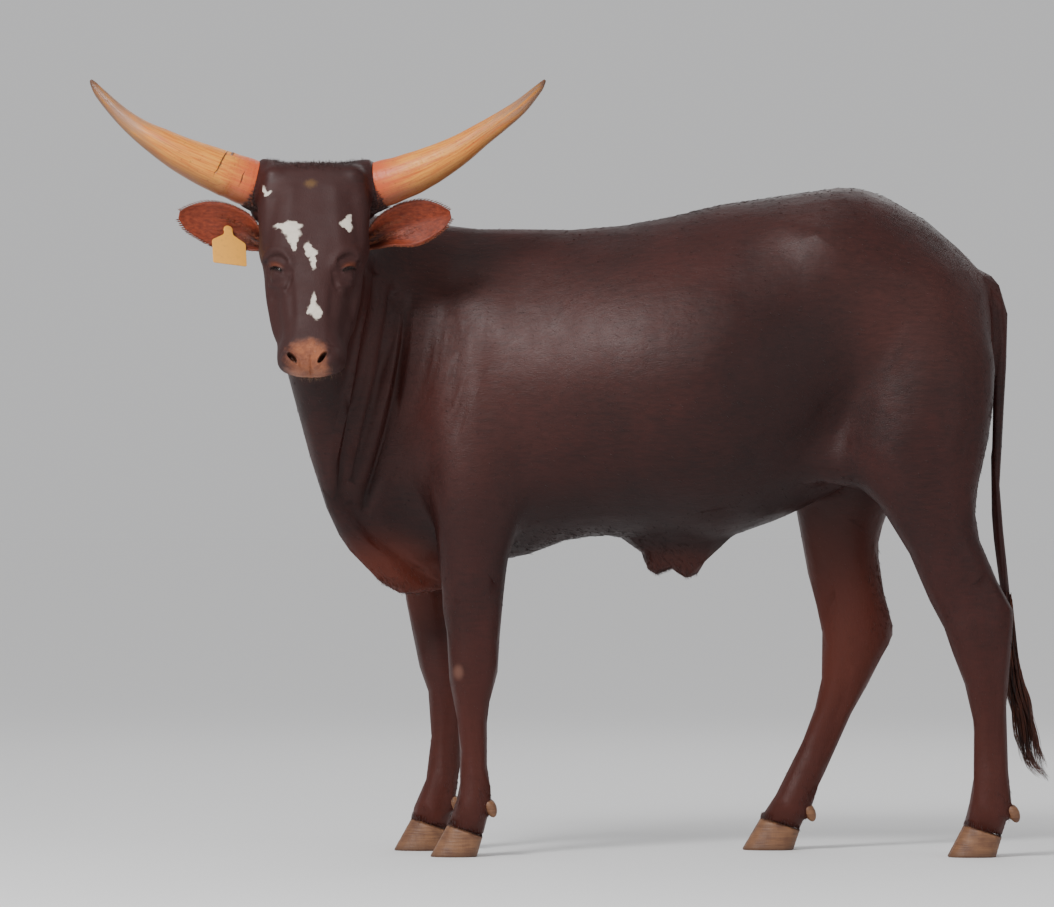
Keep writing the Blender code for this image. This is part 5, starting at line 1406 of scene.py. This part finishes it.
lashes = locks("lashes", roots, ways, sags, lengths, widths, rings=4)
made, shader, at = start_material("lash_black")
shade = at.noise(200.0, 1.0)
finish_material(shader, shade.blend(tone(26, 16, 14), tone(46, 28, 24)), shade * 0.1 + 0.35, None)
lashes.data.materials.append(made)

muzzle_spot = np.array(on_head(0, 0.426, -0.098))


def on_chin(at):
    """How thick the bristles stand: most about the lower lip, none higher on the muzzle."""
    off = ((at - muzzle_spot) ** 2).sum(axis=1)
    return np.exp(-off / BRISTLE_REACH**2) * (at[:, 2] < muzzle_spot[2] + 0.03)


roots, out = scattered(BRISTLES, on_chin)
ways = out + np.array((0, -0.1, -0.5)) + draw.normal(0, 0.35, (len(roots), 3))
sags = np.tile((0.0, 0.0, -0.25), (len(roots), 1)) + draw.normal(0, 0.1, (len(roots), 3))
bristles = locks("lip_bristles", roots, ways, sags, draw.uniform(0.004, 0.011, len(roots)),
                 draw.uniform(0.00022, 0.00035, len(roots)), rings=4)
made, shader, at = start_material("bristle_pale")
shade = at.noise(200.0, 1.0)
finish_material(shader, shade.blend(tone(176, 134, 96), tone(120, 84, 60)), shade * 0.1 + 0.35, None)
bristles.data.materials.append(made)


# Above each claw the coat ends in a fringe that hangs over the coronet. It is rooted in rows, the first at
# the claw's upper rim.
CORONET_ROWS = 6
roots, ways, sags, lengths = [], [], [], []
for ring, centre in coronets:
    for k, spot in enumerate(ring):
        away = (spot - centre) * Vector((1, 1, 0))
        away.normalize()
        for row in range(CORONET_ROWS):
            start = spot - away * (0.0022 + 0.0006 * row) + Vector((0, 0, 0.004 + 0.0022 * row))
            roots.append(start + Vector((chance.uniform(-0.002, 0.002), chance.uniform(-0.002, 0.002), 0)))
            ways.append(away * (0.34 + chance.uniform(-0.06, 0.10))
                        + Vector((chance.gauss(0, 0.08), chance.gauss(0, 0.08), -1)))
            sags.append(away * -0.12)
            lengths.append(chance.uniform(0.006, 0.011))
coronet_hair = locks("coronet_hair", roots, ways, sags, lengths,
                     [chance.uniform(0.0006, 0.0011) for _ in roots])
coronet_hair.data.materials.append(coat_hair)


# The tail ends in a switch of long, wavy, coarse hair that hangs in loose locks past the hocks.
SWITCH_PATH = ((0.909, 0.0, 0.500), (0.917, 0.0, 0.380), (0.924, 0.0, 0.320), (0.938, 0.0, 0.265),
               (0.953, 0.0, 0.195),
               (0.972, 0.0, 0.140), (0.994, 0.0, 0.110))
SWITCH_GIRTHS = ((0, 0.10, 0.25, 0.45, 0.65, 0.85, 1.0), (0.0070, 0.0105, 0.0165, 0.0235, 0.0290, 0.0270,
                                                          0.0130))
SWITCH_STRANDS = 340
SWITCH_LOCKS = 11
STRAND_STEPS = 16
BAKE_ROW = 20
path = smooth_path(SWITCH_PATH, 8)
path_share = np.linspace(0, 1, len(path))
strand_spots = []
lock_angle = [2 * math.pi * (k + chance.uniform(-0.3, 0.3)) / SWITCH_LOCKS for k in range(SWITCH_LOCKS)]
lock_phase = [chance.uniform(0, 6) for _ in range(SWITCH_LOCKS)]
lock_stop = [chance.uniform(0.72, 1.0) for _ in range(SWITCH_LOCKS)]
for i in range(SWITCH_STRANDS):
    lock = i % SWITCH_LOCKS
    begin = chance.uniform(0.0, 0.42) ** 1.3
    stop = min(1.0, lock_stop[lock] + chance.uniform(-0.10, 0.06))
    angle = lock_angle[lock] + chance.gauss(0, 0.16)
    depth = chance.random() ** 0.5
    half = chance.uniform(0.0007, 0.0013)
    spots = []
    for step in range(STRAND_STEPS + 1):
        share = step / STRAND_STEPS
        at_share = max(0.0, begin + (stop - begin) * share)
        centre = Vector([float(np.interp(at_share, path_share, path[:, axis])) for axis in range(3)])
        girth = float(np.interp(at_share, *SWITCH_GIRTHS))
        gathered_in = 1 - 0.25 * share
        out = Vector((math.cos(angle), math.sin(angle), 0)) * (girth * depth * gathered_in + 0.0015)
        wave = 0.0052 * share * math.sin(lock_phase[lock] + 17 * at_share)
        centre = MIDDLE + centre + out + Vector((wave, wave * 0.7 * math.cos(angle), 0))
        centre.z -= 0.012 * share * depth
        width = half * (1.02 - share) ** 0.6
        for k in range(3):
            turn_by = angle + 2.1 * k
            spots.append(centre + Vector((math.cos(turn_by), math.sin(turn_by), 0)) * width)
    strand_spots.append(spots)
count, each = len(strand_spots), 3 * (STRAND_STEPS + 1)
one = []
for ring in range(STRAND_STEPS):
    for k in range(3):
        a, b = 3 * ring + k, 3 * ring + (k + 1) % 3
        one += [(b, a, a + 3), (b, a + 3, b + 3)]
one += [(0, 1, 2), (each - 1, each - 2, each - 3)]
strand, corner = np.arange(count), np.arange(each)
patch = 0.02 + 0.96 * np.stack([strand % BAKE_ROW, strand // BAKE_ROW], axis=1) / BAKE_ROW
step = np.stack([(corner // 3) / STRAND_STEPS * 0.040, (corner % 3) * 0.001], axis=1)
switch = hair("switch_hair", np.array(strand_spots, float), one, patch[:, None] + step[None])
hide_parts("tail_switch")
made, shader, at = start_material("switch_hair")
fine = at.grain((300, 300, 12), 3.0, 0.6)
clumps = at.grain((60, 60, 8), 2.0)
colour = (fine * 0.6 + clumps * 0.5).over(0.40, 0.75).blend(tone(34, 16, 13), tone(112, 58, 38))
finish_material(shader, colour, fine * 0.2 + 0.34, None, specular_ior_level=0.45)
switch.data.materials.append(made)


# The animal stands on a plain pale floor in soft light: a wide soft lamp high in front and to the left,
# panels that fill the front and lift the back line, and an even pale surround.
FLOOR_HALF = 30.0
FLOOR_PAINT, FLOOR_ROUGHNESS = (0.80, 0.80, 0.80, 1), 0.9
SURROUND_COLOUR, SURROUND_STRENGTH = (0.87, 0.87, 0.88, 1), 0.69
PANELS = (
    ("key", (-2.8, -4.4, 4.6), 1.5, 310),
    ("fill", (4.2, -5.0, 2.0), 3.4, 36),
    ("rim", (1.5, 4.5, 4.0), 3.0, 44),
)
SKY_LAMP = ((-0.35, -0.55, 0.75), 0.6, 30)
CAMERA_HEIGHT = 1.088
CAMERA_REACH = 20.0
PICTURE_MIDDLE = on_body(-0.087, 0.0, 0.782)
PICTURE_WIDTH = 2.188
shape = bmesh.new()
bmesh.ops.create_grid(shape, x_segments=1, y_segments=1, size=FLOOR_HALF)
floor_mesh = bpy.data.meshes.new("floor")
shape.to_mesh(floor_mesh)
shape.free()
floor = placed("floor", floor_mesh)
floor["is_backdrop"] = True
made = bpy.data.materials.new("floor_paint")
made.use_nodes = True
paint = made.node_tree.nodes["Principled BSDF"]
paint.inputs["Base Color"].default_value = FLOOR_PAINT
paint.inputs["Roughness"].default_value = FLOOR_ROUGHNESS
floor.data.materials.append(made)
for name, spot, size, power in PANELS:
    panel = placed(name, bpy.data.lights.new(name, "AREA"))
    panel.data.size = size
    panel.data.energy = power
    panel.location = spot
    panel.rotation_euler = (PICTURE_MIDDLE - Vector(spot)).to_track_quat("-Z", "Y").to_euler()
spot, power, breadth = SKY_LAMP
lamp = placed("sky_lamp", bpy.data.lights.new("sky_lamp", "SUN"))
lamp.data.energy = power
lamp.data.angle = math.radians(breadth)
lamp.rotation_euler = Vector(spot).to_track_quat("Z", "Y").to_euler()
surround = bpy.data.worlds.new("surround")
surround.use_nodes = True
sky = surround.node_tree.nodes["Background"]
sky.inputs["Color"].default_value = SURROUND_COLOUR
sky.inputs["Strength"].default_value = SURROUND_STRENGTH
bpy.context.scene.world = surround
camera = placed("camera", bpy.data.cameras.new("camera"))
camera.location = (PICTURE_MIDDLE.x, PICTURE_MIDDLE.y - CAMERA_REACH, CAMERA_HEIGHT)
camera.rotation_euler = (PICTURE_MIDDLE - camera.location).to_track_quat("-Z", "Y").to_euler()
camera.data.lens = camera.data.sensor_width * CAMERA_REACH / PICTURE_WIDTH
camera.data.clip_end = 100
bpy.context.scene.camera = camera

sizes = {"solid": [list(corner) for corner in solid_box],
         "dressed": [list(corner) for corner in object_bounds()]}
